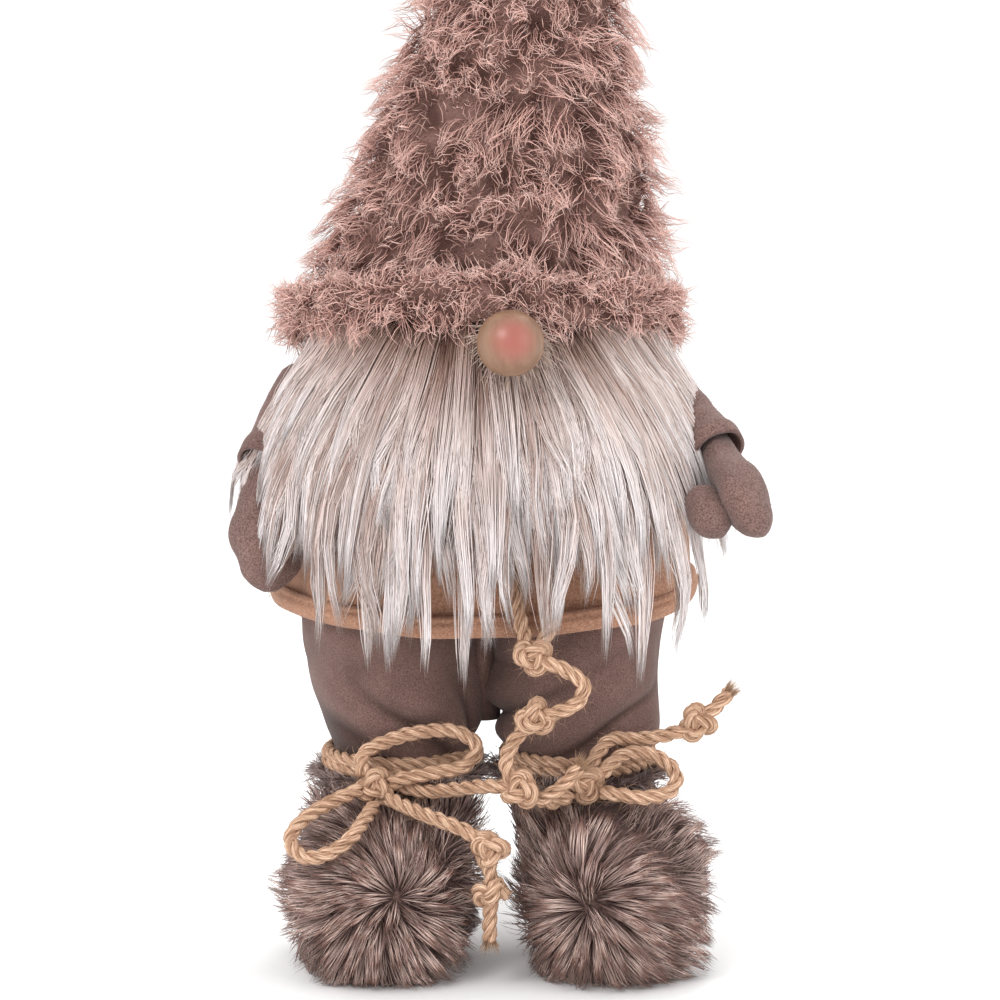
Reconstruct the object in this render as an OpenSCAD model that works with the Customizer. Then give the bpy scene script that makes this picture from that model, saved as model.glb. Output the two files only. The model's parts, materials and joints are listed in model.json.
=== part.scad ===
// Standing tomte gnome: felt body and trousers, fake-fur boots and beard, curly-wool hat,
// wooden nose, and jute ropes tied round the ankles and hanging down the front.
// The front faces -Y, +X is to the right of somebody facing it, and Z = 0 is the floor.

/* [Boots] */
// Width of each fur boot
boot_w = 102; // [85:1:106]
// Depth of each fur boot, toe to heel
boot_d = 132; // [110:1:140]
// Height of each fur boot, where the trouser leg goes in
boot_h = 86; // [72:1:92]
// Middle of the left boot, left to right
left_boot_x = -60; // [-66:1:-56]
// Middle of the right boot, left to right
right_boot_x = 55; // [50:1:62]
// Middle of both boots, front to back
boot_y = -40; // [-50:1:-30]
// Thickness of the boot's fur and its backing
fur_t = 8; // [5:0.5:10]
// Width of the stiff sole board
sole_w = 62; // [50:1:66]
// Length of the stiff sole board
sole_l = 84; // [70:1:92]
// Thickness of the sole board
sole_t = 5; // [4:0.5:7]
// Height of the pellet bag on the sole board
weight_h = 18; // [12:1:24]
// Height of the fur cuff round the top of the boot
cuff_h = 5; // [4:0.5:7]
// Thickness of the fur cuff
cuff_t = 10; // [6:0.5:12]

/* [Legs] */
// Width of the trouser leg at the ankle
ankle_w = 64; // [52:1:70]
// Depth of the trouser leg at the ankle
ankle_d = 66; // [54:1:74]
// Middle of the left ankle
left_ankle_x = -51; // [-56:1:-46]
// Middle of the right ankle
right_ankle_x = 38; // [34:1:44]
// Middle of both ankles, front to back
ankle_y = -8; // [-14:1:0]
// How far each trouser leg's top stands in from the side of the tunic
leg_inset = 14.5; // [12:0.5:20]
// Space between the tops of the two trouser legs
leg_space = 4; // [4:0.5:12]
// Depth of the trouser leg at the top
leg_top_d = 108; // [96:1:112]
// Middle of the leg's top, front to back
leg_top_y = 6; // [2:1:12]
// Thickness of the trouser felt
felt_t = 2.5; // [1.5:0.1:3.5]
// Diameter of the wooden leg rod
rod_d = 9; // [6:0.5:10]
// Middle of both leg rods, front to back
rod_y = -14; // [-18:1:-12]

/* [Body] */
// Middle of the body, left to right
body_x = -10; // [-14:0.5:-6]
// Middle of the body, front to back
body_y = 17; // [13:0.5:20]
// Width of the tunic at the hem, without the rolled edge
tunic_w = 209; // [196:1:220]
// Depth of the tunic at the hem, without the rolled edge
tunic_d = 175; // [165:1:185]
// Width of the tunic at the shoulders
shoulder_w = 146; // [130:1:150]
// Depth of the tunic at the shoulders
shoulder_d = 126; // [112:1:130]
// Height of the tunic's lower edge at the sides
hem_z = 176; // [172:1:180]
// Height of the shoulders
shoulder_z = 303; // [296:1:306]
// How far the hem drops at the front and rises at the back
hem_slope = 7; // [0:0.5:9]
// Thickness of the tunic felt
tunic_t = 3; // [2:0.1:4]
// Height of the rolled hem
hem_h = 11; // [8:0.5:14]
// Thickness of the rolled hem
hem_t = 4.2; // [3:0.1:6]
// Thickness of the plywood board that the legs stand in
board_t = 8; // [6:0.5:10]

/* [Hat] */
// Height of the hat's tip above the floor
hat_tip_z = 608; // [560:1:660]
// Height of the hat's lower edge at the sides
hat_z = 308; // [306:1:312]
// Width of the hat at its lower edge
hat_w = 184; // [180:1:194]
// Depth of the hat at its lower edge
hat_d = 166; // [163:1:174]
// How far the tip leans to the right
hat_lean = 26; // [0:1:40]
// How far the lower edge rises at the front
hat_slope = 14; // [12:0.5:16]
// Thickness of the curly wool
wool_t = 12; // [8:0.5:14]
// Thickness of the lining
lining_t = 2; // [1:0.1:3]
// Height of the rolled wool edge
brim_h = 26; // [18:1:32]
// Thickness of the rolled wool edge
brim_t = 9; // [6:0.5:12]

/* [Nose] */
// Diameter of the wooden nose ball
nose_d = 32; // [28:0.5:36]
// Height of the nose
nose_z = 314; // [312:0.5:318]
// Middle of the nose, left to right
nose_x = 4; // [-6:0.5:6]
// How far the back of the nose ball reaches in past the front of the hat's rolled edge
nose_sink = 1; // [-2:0.5:1]
// Diameter of the dowel that holds the nose
nose_dowel_d = 7; // [6:0.5:10]

/* [Beard] */
// Height of the beard's sewn upper edge
beard_top_z = 305; // [296:0.5:305]
// Height of the beard's lower edge
beard_low_z = 178; // [176:1:200]
// Thickness of the long fur
beard_t = 10; // [7:0.5:12]
// Thickness of the fur at the sewn upper edge
beard_top_t = 4; // [3:0.5:6]
// Thickness of the beard's backing cloth
backing_t = 1.6; // [1:0.1:2]
// Depth of the backing cloth, top to bottom
backing_h = 52; // [40:1:70]
// Half of the angle that the beard wraps round the body at its top
beard_wrap_top = 54; // [40:1:56]
// Half of the angle that the beard wraps round the body at its bottom
beard_wrap_low = 34; // [25:1:40]
// Diameter of the stitched roll that the beard hangs from
beard_roll_d = 6; // [5:0.5:7]

/* [Arms] */
// Height of the pins that the arms turn on
arm_z = 287; // [284:0.5:289]
// How far each arm's pin stands out from the tunic
arm_out = 11.9; // [11.5:0.1:14]
// Diameter of the sleeve at the shoulder
sleeve_top_d = 18; // [15:0.5:19]
// Diameter of the sleeve at its cuff
cuff_d = 30; // [26:0.5:31]
// Thickness of the sleeve and mitten felt
sleeve_t = 2; // [1.5:0.1:2.5]
// Width of the mitten across the palm
mitten_w = 38; // [32:0.5:40]
// Thickness of the stuffed mitten
mitten_d = 24; // [18:0.5:26]
// Diameter of the bendable wire in the arm
arm_wire_d = 3; // [2:0.1:4]
// Diameter of the thread loops and cross pins that the arm turns on
pin_d = 2.4; // [2:0.1:3]

/* [Ropes] */
// Diameter of the jute rope
rope_d = 6; // [4:0.1:6]
// Diameter of the knots
knot_d = 17; // [15:0.5:18]

/* [Fits] */
// Space between one layer of cloth or stuffing and the next
cloth_gap = 0.4; // [0.3:0.05:0.8]
// Space round loose stuffing, inside its cover
stuffing_slack = 2; // [1.5:0.1:4]
// Radial running clearance of a pin in its eye
pin_gap = 0.06; // [0.02:0.01:0.1]

/* [Hidden] */
$fn = 48;

FELT_BROWN = [0.42, 0.34, 0.29];
TUNIC_TAN = [0.66, 0.5, 0.34];
HAT_MAUVE = [0.56, 0.44, 0.4];
BEARD_CREAM = [0.82, 0.77, 0.72];
BOOT_FUR = [0.4, 0.33, 0.29];
JUTE = [0.72, 0.55, 0.36];
WADDING = [0.93, 0.92, 0.88];
BARE_WOOD = [0.85, 0.68, 0.5];
PELLETS = [0.55, 0.56, 0.58];
WIRE = [0.6, 0.6, 0.62];

// The boot's side is an arc, cut by the sole and the ankle this many degrees from its widest
// level, which is at this share of the boot's height
boot_arc = 58;
boot_widest = 0.48;
// How far the pellet bag stands in from the sole board's edge
pellet_inset = 2;
// How far the trouser leg reaches down into the boot
leg_sunk = 2;
ankle_low_z = boot_h - leg_sunk;

// The ropes round the ankle, and the top of their second turn
rope_r = rope_d / 2;
wrap_z = boot_h + cloth_gap + cuff_h + cloth_gap + rope_r;
wrap_top_z = wrap_z + rope_d + cloth_gap + rope_r;
wrap_spread = 0.8;

// The board that the rods carry, the seat under it and the tops of the legs under that
board_lift = 7;
board_z = hem_z + hem_slope + board_lift;
seat_z = board_z - cloth_gap - felt_t;
leg_top_z = seat_z - cloth_gap;
leg_top_w = tunic_w / 2 - leg_inset - leg_space / 2;
leg_top_x = (leg_space + leg_top_w) / 2;
seat_inset = 1;
board_inset = 8;

// Powers that round the tunic's shoulders, the hat's side and the hat's tip
shoulder_power = 2.2;
hat_side_power = 1.15;
hat_tip_power = 0.9;
// How far inside the tip each inner layer of the hat ends, in layer thicknesses
tip_layers = 2.2;
// Loose stuffing in the hat stays clear of the sloping lower edge
hat_stuffing_slack = 2 * stuffing_slack + 2;
// How far the rolled edge reaches below the hat's lower edge
brim_drop = 2;

// The nose, and how far its dowel reaches in behind the front of the tunic
nose_r = nose_d / 2;
nose_y = body_y - hat_d / 2 - brim_t - nose_r + nose_sink;
dowel_grip = 14;

// The arms: the shoulder, the wrist and the finger-tip of each, and the palm's direction
arm_y = 12;
arm_x = tunic_half(tunic_w, shoulder_w, arm_z) + arm_out;
left_shoulder = [body_x - arm_x, arm_y, arm_z];
left_wrist = left_shoulder + [-14, -32, -40];
left_tip = left_wrist + [3, -20, -61];
right_shoulder = [body_x + arm_x, arm_y, arm_z];
right_wrist = right_shoulder + [23, -40, -33];
right_tip = right_wrist + [20, -42, -35];
left_palm_side = [1, 0, 0];
right_palm_side = [0, 1, 0];
// Where the felt starts along the arm and along the hand, and how far the cuff passes the wrist
sleeve_start = 9;
cuff_past_wrist = 1;
mitten_start = 6;
// The eyes in the wires, the thread staple's bar and how deep its legs go into the tunic
eye_d = 7;
shoulder_eye_d = 8;
staple_l = 22;
staple_depth = 4;
wrist_pin_l = 12;
hand_wire_l = 24;
// The arm's wire meets the cross pin beside the hand's eye
wire_side = [0, 5, 0];
// The least half width of a limb's ring, at its closed end
tip_half = 0.6;
// The thumb starts this far past the wrist and is this thick, halved
thumb_start = 16;
thumb_half = 5.5;

// The knots
left_bow = [-62, -60, 93];
right_bow = [41, -62, 95];
upper_knot = [15, -86, 163];
middle_knot = [16, -86, 133];
lower_knot = [9, -84, 97];
left_tail_knot = [-6, -94, 70];
left_end_knot = [-5, -94, 49];
right_tail_knot = [96, -46, 122];

// The routes of the free ropes, point by point
front_rope_route = [[3, -75, 206], [7, -79, 188], [10, -81, 174], [15, -85, 162], [28, -89, 158],
    [39, -90, 150], [35, -89, 140], [20, -86, 133], [8, -84, 124], [2, -82, 112], [5, -82, 101],
    [16, -82, 92], [28, -80, 97], [38, -80, 108]];
front_strand_route = [[29, -71, 206], [26, -77, 188], [22, -80, 174], [17, -85, 164]];
left_upper_route = [[-68, -58, 98], [-68, -54, 108], [-54, -52, 115], [-38, -52, 119],
    [-22, -53, 119], [-12, -56, 112], [-18, -62, 104], [-32, -63, 101], [-46, -62, 98],
    [-55, -61, 95]];
left_lower_route = [[-69, -64, 93], [-84, -74, 88], [-97, -82, 81], [-102, -88, 73],
    [-96, -92, 66], [-84, -95, 68], [-73, -92, 75], [-66, -80, 82], [-62, -68, 86]];
left_tail_route = [[-56, -66, 89], [-44, -78, 86], [-30, -88, 83], [-16, -93, 78], [-7, -94, 70],
    [-6, -95, 60], [-5, -94, 49], [-6, -93, 36], [-6, -92, 24]];
right_loop_route = [[48, -60, 99], [60, -54, 108], [75, -53, 107], [85, -57, 99],
    [82, -65, 92], [70, -70, 90], [58, -69, 91], [48, -66, 92]];
right_tail_route = [[43, -56, 103], [53, -49, 114], [67, -47, 114], [81, -46, 116], [92, -46, 120],
    [103, -46, 128], [112, -46, 138]];
ankle_tie_route = [[-55, -56, 95], [-40, -60, 91], [-24, -66, 93], [-8, -76, 97], [9, -82, 97],
    [22, -72, 88], [34, -65, 90]];

// ---- shapes ----

function unit(v) = v / norm(v);
function mix(a, b, h) = a + (b - a) * h;

// One ring: an oval about c, rx and ry wide, whose back stands `tilt` above its middle
function oval(c, rx, ry, tilt = 0, n = 32) =
    [for (i = [0:n - 1]) let (a = 360 * (i + 0.5) / n) c + [rx * cos(a), ry * sin(a), tilt * sin(a)]];

// One ring square to the direction t: ra across `side`, rb the other way
function cross_ring(c, t, side, ra, rb, n) =
    let (u = unit(cross(t, side)), s = cross(u, t))
    [for (i = [0:n - 1]) let (a = 360 * (i + 0.5) / n) c + ra * cos(a) * s + rb * sin(a) * u];

// The surface that joins ring to ring; a loop of rings closes on itself, any other is capped
module skin(rings, loop = false) {
    m = len(rings);
    n = len(rings[0]);
    sides = [for (j = [0:loop ? m - 1 : m - 2], i = [0:n - 1])
        let (a = j * n + i, b = j * n + (i + 1) % n,
            c = (j + 1) % m * n + (i + 1) % n, d = (j + 1) % m * n + i)
        each [[a, c, b], [a, d, c]]];
    // Each cap is a strip of pairs of triangles across the ring, without the last, flat one
    caps = loop ? [] : [for (i = [0:n / 2 - 2], end = [0, (m - 1) * n])
        let (a = end + i, b = end + i + 1, c = end + n - 2 - i, d = end + n - 1 - i,
            pair = end == 0 ? [[a, b, c], [a, c, d]] : [[a, c, b], [a, d, c]])
        for (f = pair) if (f[0] != f[1] && f[1] != f[2]) f];
    polyhedron([for (r = rings) each r], concat(sides, caps));
}

function back_along(v) = [for (i = [len(v) - 1:-1:0]) v[i]];

// A cloth tube: its outer rings, and the same rings further in on the way back
module shell(outer, inner) skin(concat(outer, back_along(inner)), loop = true);

// A plate of oval outline, lying flat
module oval_plate(c, rx, ry, h)
    translate(c) linear_extrude(h) polygon([for (i = [0:39]) [rx * cos(9 * i), ry * sin(9 * i)]]);

// A tube of diameter d along the points of a route
module tube(route, d, sides = 8) {
    last = len(route) - 1;
    skin([for (i = [0:last])
        let (t = unit(route[min(i + 1, last)] - route[max(i - 1, 0)]))
        cross_ring(route[i], t, unit(cross(t, [0, 1, 0])), d / 2, d / 2, sides)]);
}

// ---- boots ----

// The boot's outline, `inset` inside its fur: a ball that is cut flat at the sole and
// draws in, backwards, to the ankle
function boot_half(inset, base, full, t) =
    base - inset + (full - base) * (cos(t) - cos(boot_arc)) / (1 - cos(boot_arc));

function boot_rings(boot_x, ankle_x, inset, low_z, high_z, steps, n) =
    [for (k = [0:steps])
        let (z = mix(low_z, high_z, (1 - cos(180 * k / steps)) / 2),
            mid = boot_widest * boot_h,
            t = asin(sin(boot_arc) * (z - mid) / (z > mid ? boot_h - mid : mid)),
            up = max(0, (z - mid) / (boot_h - mid)),
            neck_w = z > mid ? ankle_w / 2 + 3 * cloth_gap + fur_t : sole_w / 2 + cloth_gap + fur_t,
            neck_d = z > mid ? ankle_d / 2 + 3 * cloth_gap + fur_t : sole_l / 2 + cloth_gap + fur_t)
        oval([mix(boot_x, ankle_x, up * up), mix(boot_y, ankle_y, up * up), z],
            boot_half(inset, neck_w, boot_w / 2, t), boot_half(inset, neck_d, boot_d / 2, t), 0, n)];

module sole(boot_x) color(FELT_BROWN) difference() {
    oval_plate([boot_x, boot_y, 0], sole_w / 2, sole_l / 2, sole_t);
    rod_socket(boot_x);
}

// Where the leg rod stands in the sole board
rod_foot_z = sole_t / 2;
module rod_socket(boot_x) translate([rod_x(boot_x), rod_y, rod_foot_z]) cylinder(h = boot_h, d = rod_d);

// The rods stand upright through the ankles
function rod_x(boot_x) = boot_x < body_x ? left_ankle_x : right_ankle_x;

module boot_weight(boot_x) color(PELLETS) difference() {
    oval_plate([boot_x, boot_y, sole_t + cloth_gap], sole_w / 2 - pellet_inset,
        sole_l / 2 - pellet_inset, weight_h);
    rod_hole(boot_x);
}

module rod_hole(boot_x) translate([rod_x(boot_x), rod_y, -1])
    cylinder(h = board_z + board_t, d = rod_d + 2 * cloth_gap);

module boot_stuffing(boot_x, ankle_x) color(WADDING) difference() {
    skin(boot_rings(boot_x, ankle_x, fur_t + stuffing_slack,
        sole_t + weight_h + 2 * cloth_gap, ankle_low_z - cloth_gap, 7, 24));
    rod_hole(boot_x);
}

module boot_fur(boot_x, ankle_x) color(BOOT_FUR)
    shell(boot_rings(boot_x, ankle_x, 0, 0, boot_h, 9, 28),
        boot_rings(boot_x, ankle_x, fur_t, 0, boot_h, 9, 28));

module boot_cuff(ankle_x) color(BOOT_FUR) {
    z = boot_h + cloth_gap;
    c = [ankle_x, ankle_y, 0];
    rx = ankle_w / 2 + cloth_gap;
    ry = ankle_d / 2 + cloth_gap;
    // Each point of the cuff's outline: how far it stands off the leg, and its share of the height
    outline = [[1, 0], [cuff_t - 1, 0], [cuff_t, 0.5], [cuff_t - 2, 1], [1, 1]];
    skin([for (p = outline) oval(c + [0, 0, z + p[1] * cuff_h], rx + p[0], ry + p[0], 0, 28)], loop = true);
}

// ---- legs ----

// A leg's outline `inset` inside the felt: straight under the ropes, then wider up to the seat
function leg_rings(side, ankle_x, inset, low_z, high_z, steps, n) =
    [for (k = [0:steps])
        let (z = k == 0 ? low_z : mix(wrap_top_z, high_z, (k - 1) / (steps - 1)),
            h = max(0, (z - wrap_top_z) / (leg_top_z - wrap_top_z)),
            swell = 1 - (1 - h) * (1 - h))
        oval([mix(ankle_x, body_x + side * leg_top_x, h), mix(ankle_y, leg_top_y, h), z],
            mix(ankle_w, leg_top_w, swell) / 2 - inset, mix(ankle_d, leg_top_d, swell) / 2 - inset, 0, n)];

module trouser_leg(side, ankle_x) color(FELT_BROWN)
    shell(leg_rings(side, ankle_x, 0, ankle_low_z, leg_top_z, 7, 28),
        leg_rings(side, ankle_x, felt_t, ankle_low_z, leg_top_z, 7, 28));

module leg_stuffing(side, ankle_x) color(WADDING) difference() {
    skin(leg_rings(side, ankle_x, felt_t + stuffing_slack, ankle_low_z, leg_top_z, 7, 24));
    translate([ankle_x, rod_y, -1]) cylinder(h = board_z + board_t, d = rod_d + 2 * cloth_gap);
}

module leg_rod(ankle_x) color(BARE_WOOD) translate([ankle_x, rod_y, rod_foot_z])
    cylinder(h = board_z + board_t / 2 - rod_foot_z, d = rod_d);

module trouser_seat() color(FELT_BROWN) difference() {
    oval_plate([body_x, body_y, seat_z], tunic_w / 2 - tunic_t - cloth_gap - seat_inset,
        tunic_d / 2 - tunic_t - cloth_gap - seat_inset, felt_t);
    for (x = [left_ankle_x, right_ankle_x])
        translate([x, rod_y, seat_z - 1]) cylinder(h = felt_t + 2, d = rod_d + 2 * cloth_gap);
}

module body_board() color(BARE_WOOD) difference() {
    oval_plate([body_x, body_y, board_z], tunic_w / 2 - tunic_t - board_inset,
        tunic_d / 2 - tunic_t - board_inset, board_t);
    for (x = [left_ankle_x, right_ankle_x])
        translate([x, rod_y, board_z - 1]) cylinder(h = board_t / 2 + 1, d = rod_d);
}

// ---- body ----

// Half of the tunic's width or depth at height z
function tunic_half(full, top, z) =
    let (h = min(1, max(0, (z - hem_z) / (shoulder_z - hem_z)))) mix(full, top, pow(h, shoulder_power)) / 2;

// The body's outline `inset` inside the tunic; `slope` tilts the lowest ring with the hem
function body_rings(inset, low_z, high_z, slope, steps, n) =
    [for (k = [0:steps]) let (z = mix(low_z, high_z, k / steps))
        oval([body_x, body_y, z], tunic_half(tunic_w, shoulder_w, z) - inset,
            tunic_half(tunic_d, shoulder_d, z) - inset, slope * (1 - k / steps), n)];

module torso_stuffing() color(WADDING)
    skin(body_rings(tunic_t + stuffing_slack, board_z + board_t + cloth_gap, shoulder_z, 0, 7, 28));

module tunic() color(TUNIC_TAN)
    shell(body_rings(0, hem_z, shoulder_z, hem_slope, 8, 36),
        body_rings(tunic_t, hem_z, shoulder_z, hem_slope, 8, 36));

module tunic_hem() color(TUNIC_TAN) {
    rx = tunic_w / 2 + cloth_gap;
    ry = tunic_d / 2 + cloth_gap;
    skin([for (p = [[0, 0.15], [0.5, 0], [1, 0.25], [1, 0.75], [0.5, 1], [0, 0.85]])
        oval([body_x, body_y, hem_z + p[1] * hem_h], rx + p[0] * hem_t, ry + p[0] * hem_t, hem_slope, 36)],
        loop = true);
}

// ---- hat ----

// The hat narrows to a blunt tip, and its middle line bends to the right
function hat_half(base, h) = base / 2 * pow(1 - pow(max(0, h), hat_side_power), hat_tip_power);
function hat_middle(h) = [body_x + hat_lean * sin(90 * h), body_y, mix(hat_z, hat_tip_z, h)];
function hat_rings(inset, low, slope, steps, n) =
    [for (k = [0:steps]) let (h = mix(low, 1 - tip_layers * inset / (hat_tip_z - hat_z), k / steps))
        oval(hat_middle(h), max(1, hat_half(hat_w, h) - inset), max(1, hat_half(hat_d, h) - inset),
            k == 0 ? -slope : 0, n)];

module hat_stuffing() color(WADDING) difference() {
    skin(hat_rings(wool_t + lining_t + hat_stuffing_slack,
        (shoulder_z + cloth_gap - hat_z) / (hat_tip_z - hat_z), 0, 9, 24));
    nose_dowel_shape(nose_dowel_d + 2 * cloth_gap);
}

module hat_lining() color(FELT_BROWN)
    shell(hat_rings(wool_t + cloth_gap, 0, hat_slope, 10, 32),
        hat_rings(wool_t + cloth_gap + lining_t, 0, hat_slope, 10, 32));

module hat_wool() color(HAT_MAUVE)
    shell(hat_rings(0, 0, hat_slope, 10, 32), hat_rings(wool_t, 0, hat_slope, 10, 32));

module hat_brim() color(HAT_MAUVE) {
    rx = hat_w / 2 + cloth_gap;
    ry = hat_d / 2 + cloth_gap;
    low = hat_z - brim_drop;
    skin([for (p = [[0, 0.1], [0.35, 0], [0.85, 0.18], [1, 0.5], [0.8, 0.85], [0.35, 1], [0, 0.9]])
        oval([body_x, body_y, low + p[1] * brim_h], rx + p[0] * brim_t, ry + p[0] * brim_t, -hat_slope, 36)],
        loop = true);
}

// ---- nose ----

nose_dowel_end_y = body_y - tunic_half(tunic_d, shoulder_d, nose_z) + dowel_grip;

module nose_dowel_shape(d) translate([nose_x, nose_y, nose_z])
    rotate([-90, 0, 0]) cylinder(h = nose_dowel_end_y - nose_y, d = d);

module nose() color(BARE_WOOD) difference() {
    translate([nose_x, nose_y, nose_z]) sphere(d = nose_d);
    nose_dowel_shape(nose_dowel_d);
}

module nose_dowel() color(BARE_WOOD) nose_dowel_shape(nose_dowel_d);

// ---- beard ----

// The stitched roll that the beard hangs from, and how far the beard stands off the tunic
roll_l = 30;
roll_clear = 5;
beard_clear_top = 10;
beard_clear_low = 23;
beard_hinge = [body_x, body_y - tunic_half(tunic_d, shoulder_d, beard_top_z) - roll_clear, beard_top_z];

// One level of the beard: an arc round the front of the body and the same arc further in
function beard_ring(z, wrap, in_w, in_d, t) =
    let (steps = 10, arc = [for (i = [0:steps]) 270 - wrap + 2 * wrap * i / steps])
    concat([for (a = arc) [body_x + (in_w + t) * cos(a), body_y + (in_d + t) * sin(a), z]],
        [for (a = back_along(arc)) [body_x + in_w * cos(a), body_y + in_d * sin(a), z]]);

// Its inner face stands clear of the tunic, further out towards the bottom where the ropes hang
function beard_levels(out, t, top_t, low_z, high_z, steps) =
    [for (k = [0:steps])
        let (z = mix(low_z, high_z, k / steps),
            h = (z - beard_low_z) / (beard_top_z - beard_low_z),
            clear = mix(beard_clear_low, beard_clear_top, h))
        beard_ring(z, mix(beard_wrap_low, beard_wrap_top, h),
            tunic_half(tunic_w, shoulder_w, z) + clear + out,
            tunic_half(tunic_d, shoulder_d, z) + clear + out, mix(t, top_t, h * h))];

module beard_stitching() color(JUTE) translate(beard_hinge) rotate([0, 90, 0])
    cylinder(h = roll_l + 8, d = pin_d, center = true);

module beard_backing() color(BEARD_CREAM) {
    skin(beard_levels(0, backing_t, backing_t, beard_top_z - backing_h, beard_top_z - beard_roll_d, 3));
    difference() {
        translate(beard_hinge) rotate([0, 90, 0]) cylinder(h = roll_l, d = beard_roll_d, center = true);
        translate(beard_hinge) rotate([0, 90, 0])
            cylinder(h = roll_l + 2, d = pin_d + 2 * pin_gap, center = true);
    }
}

module beard_fur() color(BEARD_CREAM)
    skin(beard_levels(backing_t + 3 * cloth_gap, beard_t, beard_top_t, beard_low_z, beard_top_z, 6));

// ---- arms ----

// Rings along a limb from `a` towards `b`; each station is [distance, half width, half thickness]
function limb_rings(a, b, side, stations, inset, n) =
    let (t = unit(b - a))
    [for (s = stations)
        cross_ring(a + t * s[0], t, side, max(tip_half, s[1] - inset), max(tip_half, s[2] - inset), n)];

// Point a given distance along the line from a to b
function along(a, b, d) = a + unit(b - a) * d;

module y_pin(p, l, d) translate(p) rotate([90, 0, 0]) cylinder(h = l, d = d, center = true);

// A round rod from p to q
module rod(p, q, d) {
    v = q - p;
    translate(p) rotate([0, acos(v[2] / norm(v)), atan2(v[1], v[0])]) cylinder(h = norm(v), d = d);
}

// A thread staple: the bar that the arm turns on, and its two legs into the tunic
module shoulder_stitching(side, s) color(JUTE) {
    y_pin(s, staple_l, pin_d);
    for (y = [-1, 1]) translate(s + [0, y * (staple_l - pin_d) / 2, 0]) rotate([0, -side * 90, 0])
        cylinder(h = arm_out + tunic_t + staple_depth, d = pin_d);
}

// The bendable wire: an eye on the shoulder's bar, a straight run and a cross pin at the wrist
module arm_wire(s, w) color(WIRE) {
    difference() {
        union() {
            y_pin(s, arm_wire_d * 2, shoulder_eye_d);
            rod(along(s, w, shoulder_eye_d / 3), w + wire_side, arm_wire_d);
        }
        y_pin(s, arm_wire_d * 2 + 2, pin_d + 2 * pin_gap);
    }
    y_pin(w + wire_side / 4, wrist_pin_l, pin_d);
}

module sleeve(s, w) color(FELT_BROWN) {
    l = norm(w - s);
    st = [for (h = [0, 0.35, 0.7, 1])
        let (r = mix(sleeve_top_d, cuff_d, h) / 2) [mix(sleeve_start, l + cuff_past_wrist, h), r, r]];
    shell(limb_rings(s, w, [1, 0, 0], st, 0, 18), limb_rings(s, w, [1, 0, 0], st, sleeve_t, 18));
}

module sleeve_stuffing(s, w) color(WADDING) difference() {
    l = norm(w - s);
    st = [for (h = [0, 0.35, 0.7])
        let (r = mix(sleeve_top_d, cuff_d, h) / 2) [mix(sleeve_start, l + cuff_past_wrist, h), r, r]];
    skin(limb_rings(s, w, [1, 0, 0], st, sleeve_t + stuffing_slack, 14));
    rod(s, w + wire_side, arm_wire_d + 2 * cloth_gap);
}

// Stations of the mitten: a narrow wrist, a wide palm and a round end
function mitten_stations(l) = [[mitten_start, 10, 8.5], [0.22 * l, 13, 9.5],
    [0.42 * l, mitten_w / 2 - 1, mitten_d / 2], [0.65 * l, mitten_w / 2, mitten_d / 2],
    [0.85 * l, mitten_w / 2 - 3, mitten_d / 2 - 1.5],
    [0.96 * l, mitten_w / 2 - 9, mitten_d / 2 - 5], [l, 2.8, 2.8]];

module hand_wire(w, tip) color(WIRE) difference() {
    union() {
        y_pin(w, arm_wire_d, eye_d);
        rod(along(w, tip, eye_d / 3), along(w, tip, hand_wire_l), arm_wire_d);
    }
    y_pin(w, 4 * arm_wire_d, pin_d + 2 * pin_gap);
}

module mitten(w, tip, side) color(FELT_BROWN) {
    st = mitten_stations(norm(tip - w));
    shell(limb_rings(w, tip, side, st, 0, 20), limb_rings(w, tip, side, st, sleeve_t, 20));
}

module mitten_stuffing(w, tip, side) color(WADDING) difference() {
    l = norm(tip - w);
    st = [for (s = mitten_stations(l)) if (s[0] < 0.9 * l) s];
    skin(limb_rings(w, tip, side, st, sleeve_t + stuffing_slack, 16));
    rod(w, along(w, tip, hand_wire_l + 1), arm_wire_d + 2 * cloth_gap);
}

// The thumb lies against the palm, on the side that `turn` chooses, and points with the fingers
module thumb(w, tip, side, turn, across) color(FELT_BROWN) {
    out = unit(cross(unit(tip - w), side)) * turn * (mitten_d / 2 + cloth_gap + thumb_half);
    a = along(w, tip, thumb_start) + out + side * across;
    skin(limb_rings(a, a + tip - w, side,
        [[0, 3, 3], [4, 6, 5], [14, 7, thumb_half], [22, 6, 5], [27, 3, 2.5]], 0, 12));
}

// ---- ropes ----

// Two turns of rope round an ankle
module ankle_wrap(ankle_x) color(JUTE) for (turn = [0, 1])
    let (z = wrap_z + turn * (rope_d + cloth_gap), rx = ankle_w / 2 + cloth_gap + rope_r + turn * wrap_spread,
        ry = ankle_d / 2 + cloth_gap + rope_r + turn * wrap_spread)
    skin([for (k = [0:5]) oval([ankle_x, ankle_y, z + rope_r * sin(60 * k)],
        rx + rope_r * cos(60 * k), ry + rope_r * cos(60 * k), 0, 28)], loop = true);

module knot(p) translate(p) sphere(d = knot_d);

module bow_knots() color(JUTE) for (p = [left_bow, right_bow]) knot(p);
module front_knots() color(JUTE) for (p = [upper_knot, middle_knot, lower_knot]) knot(p);
module tail_knots() color(JUTE) for (p = [left_tail_knot, left_end_knot, right_tail_knot]) knot(p);

// ---- what is drawn ----

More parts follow.
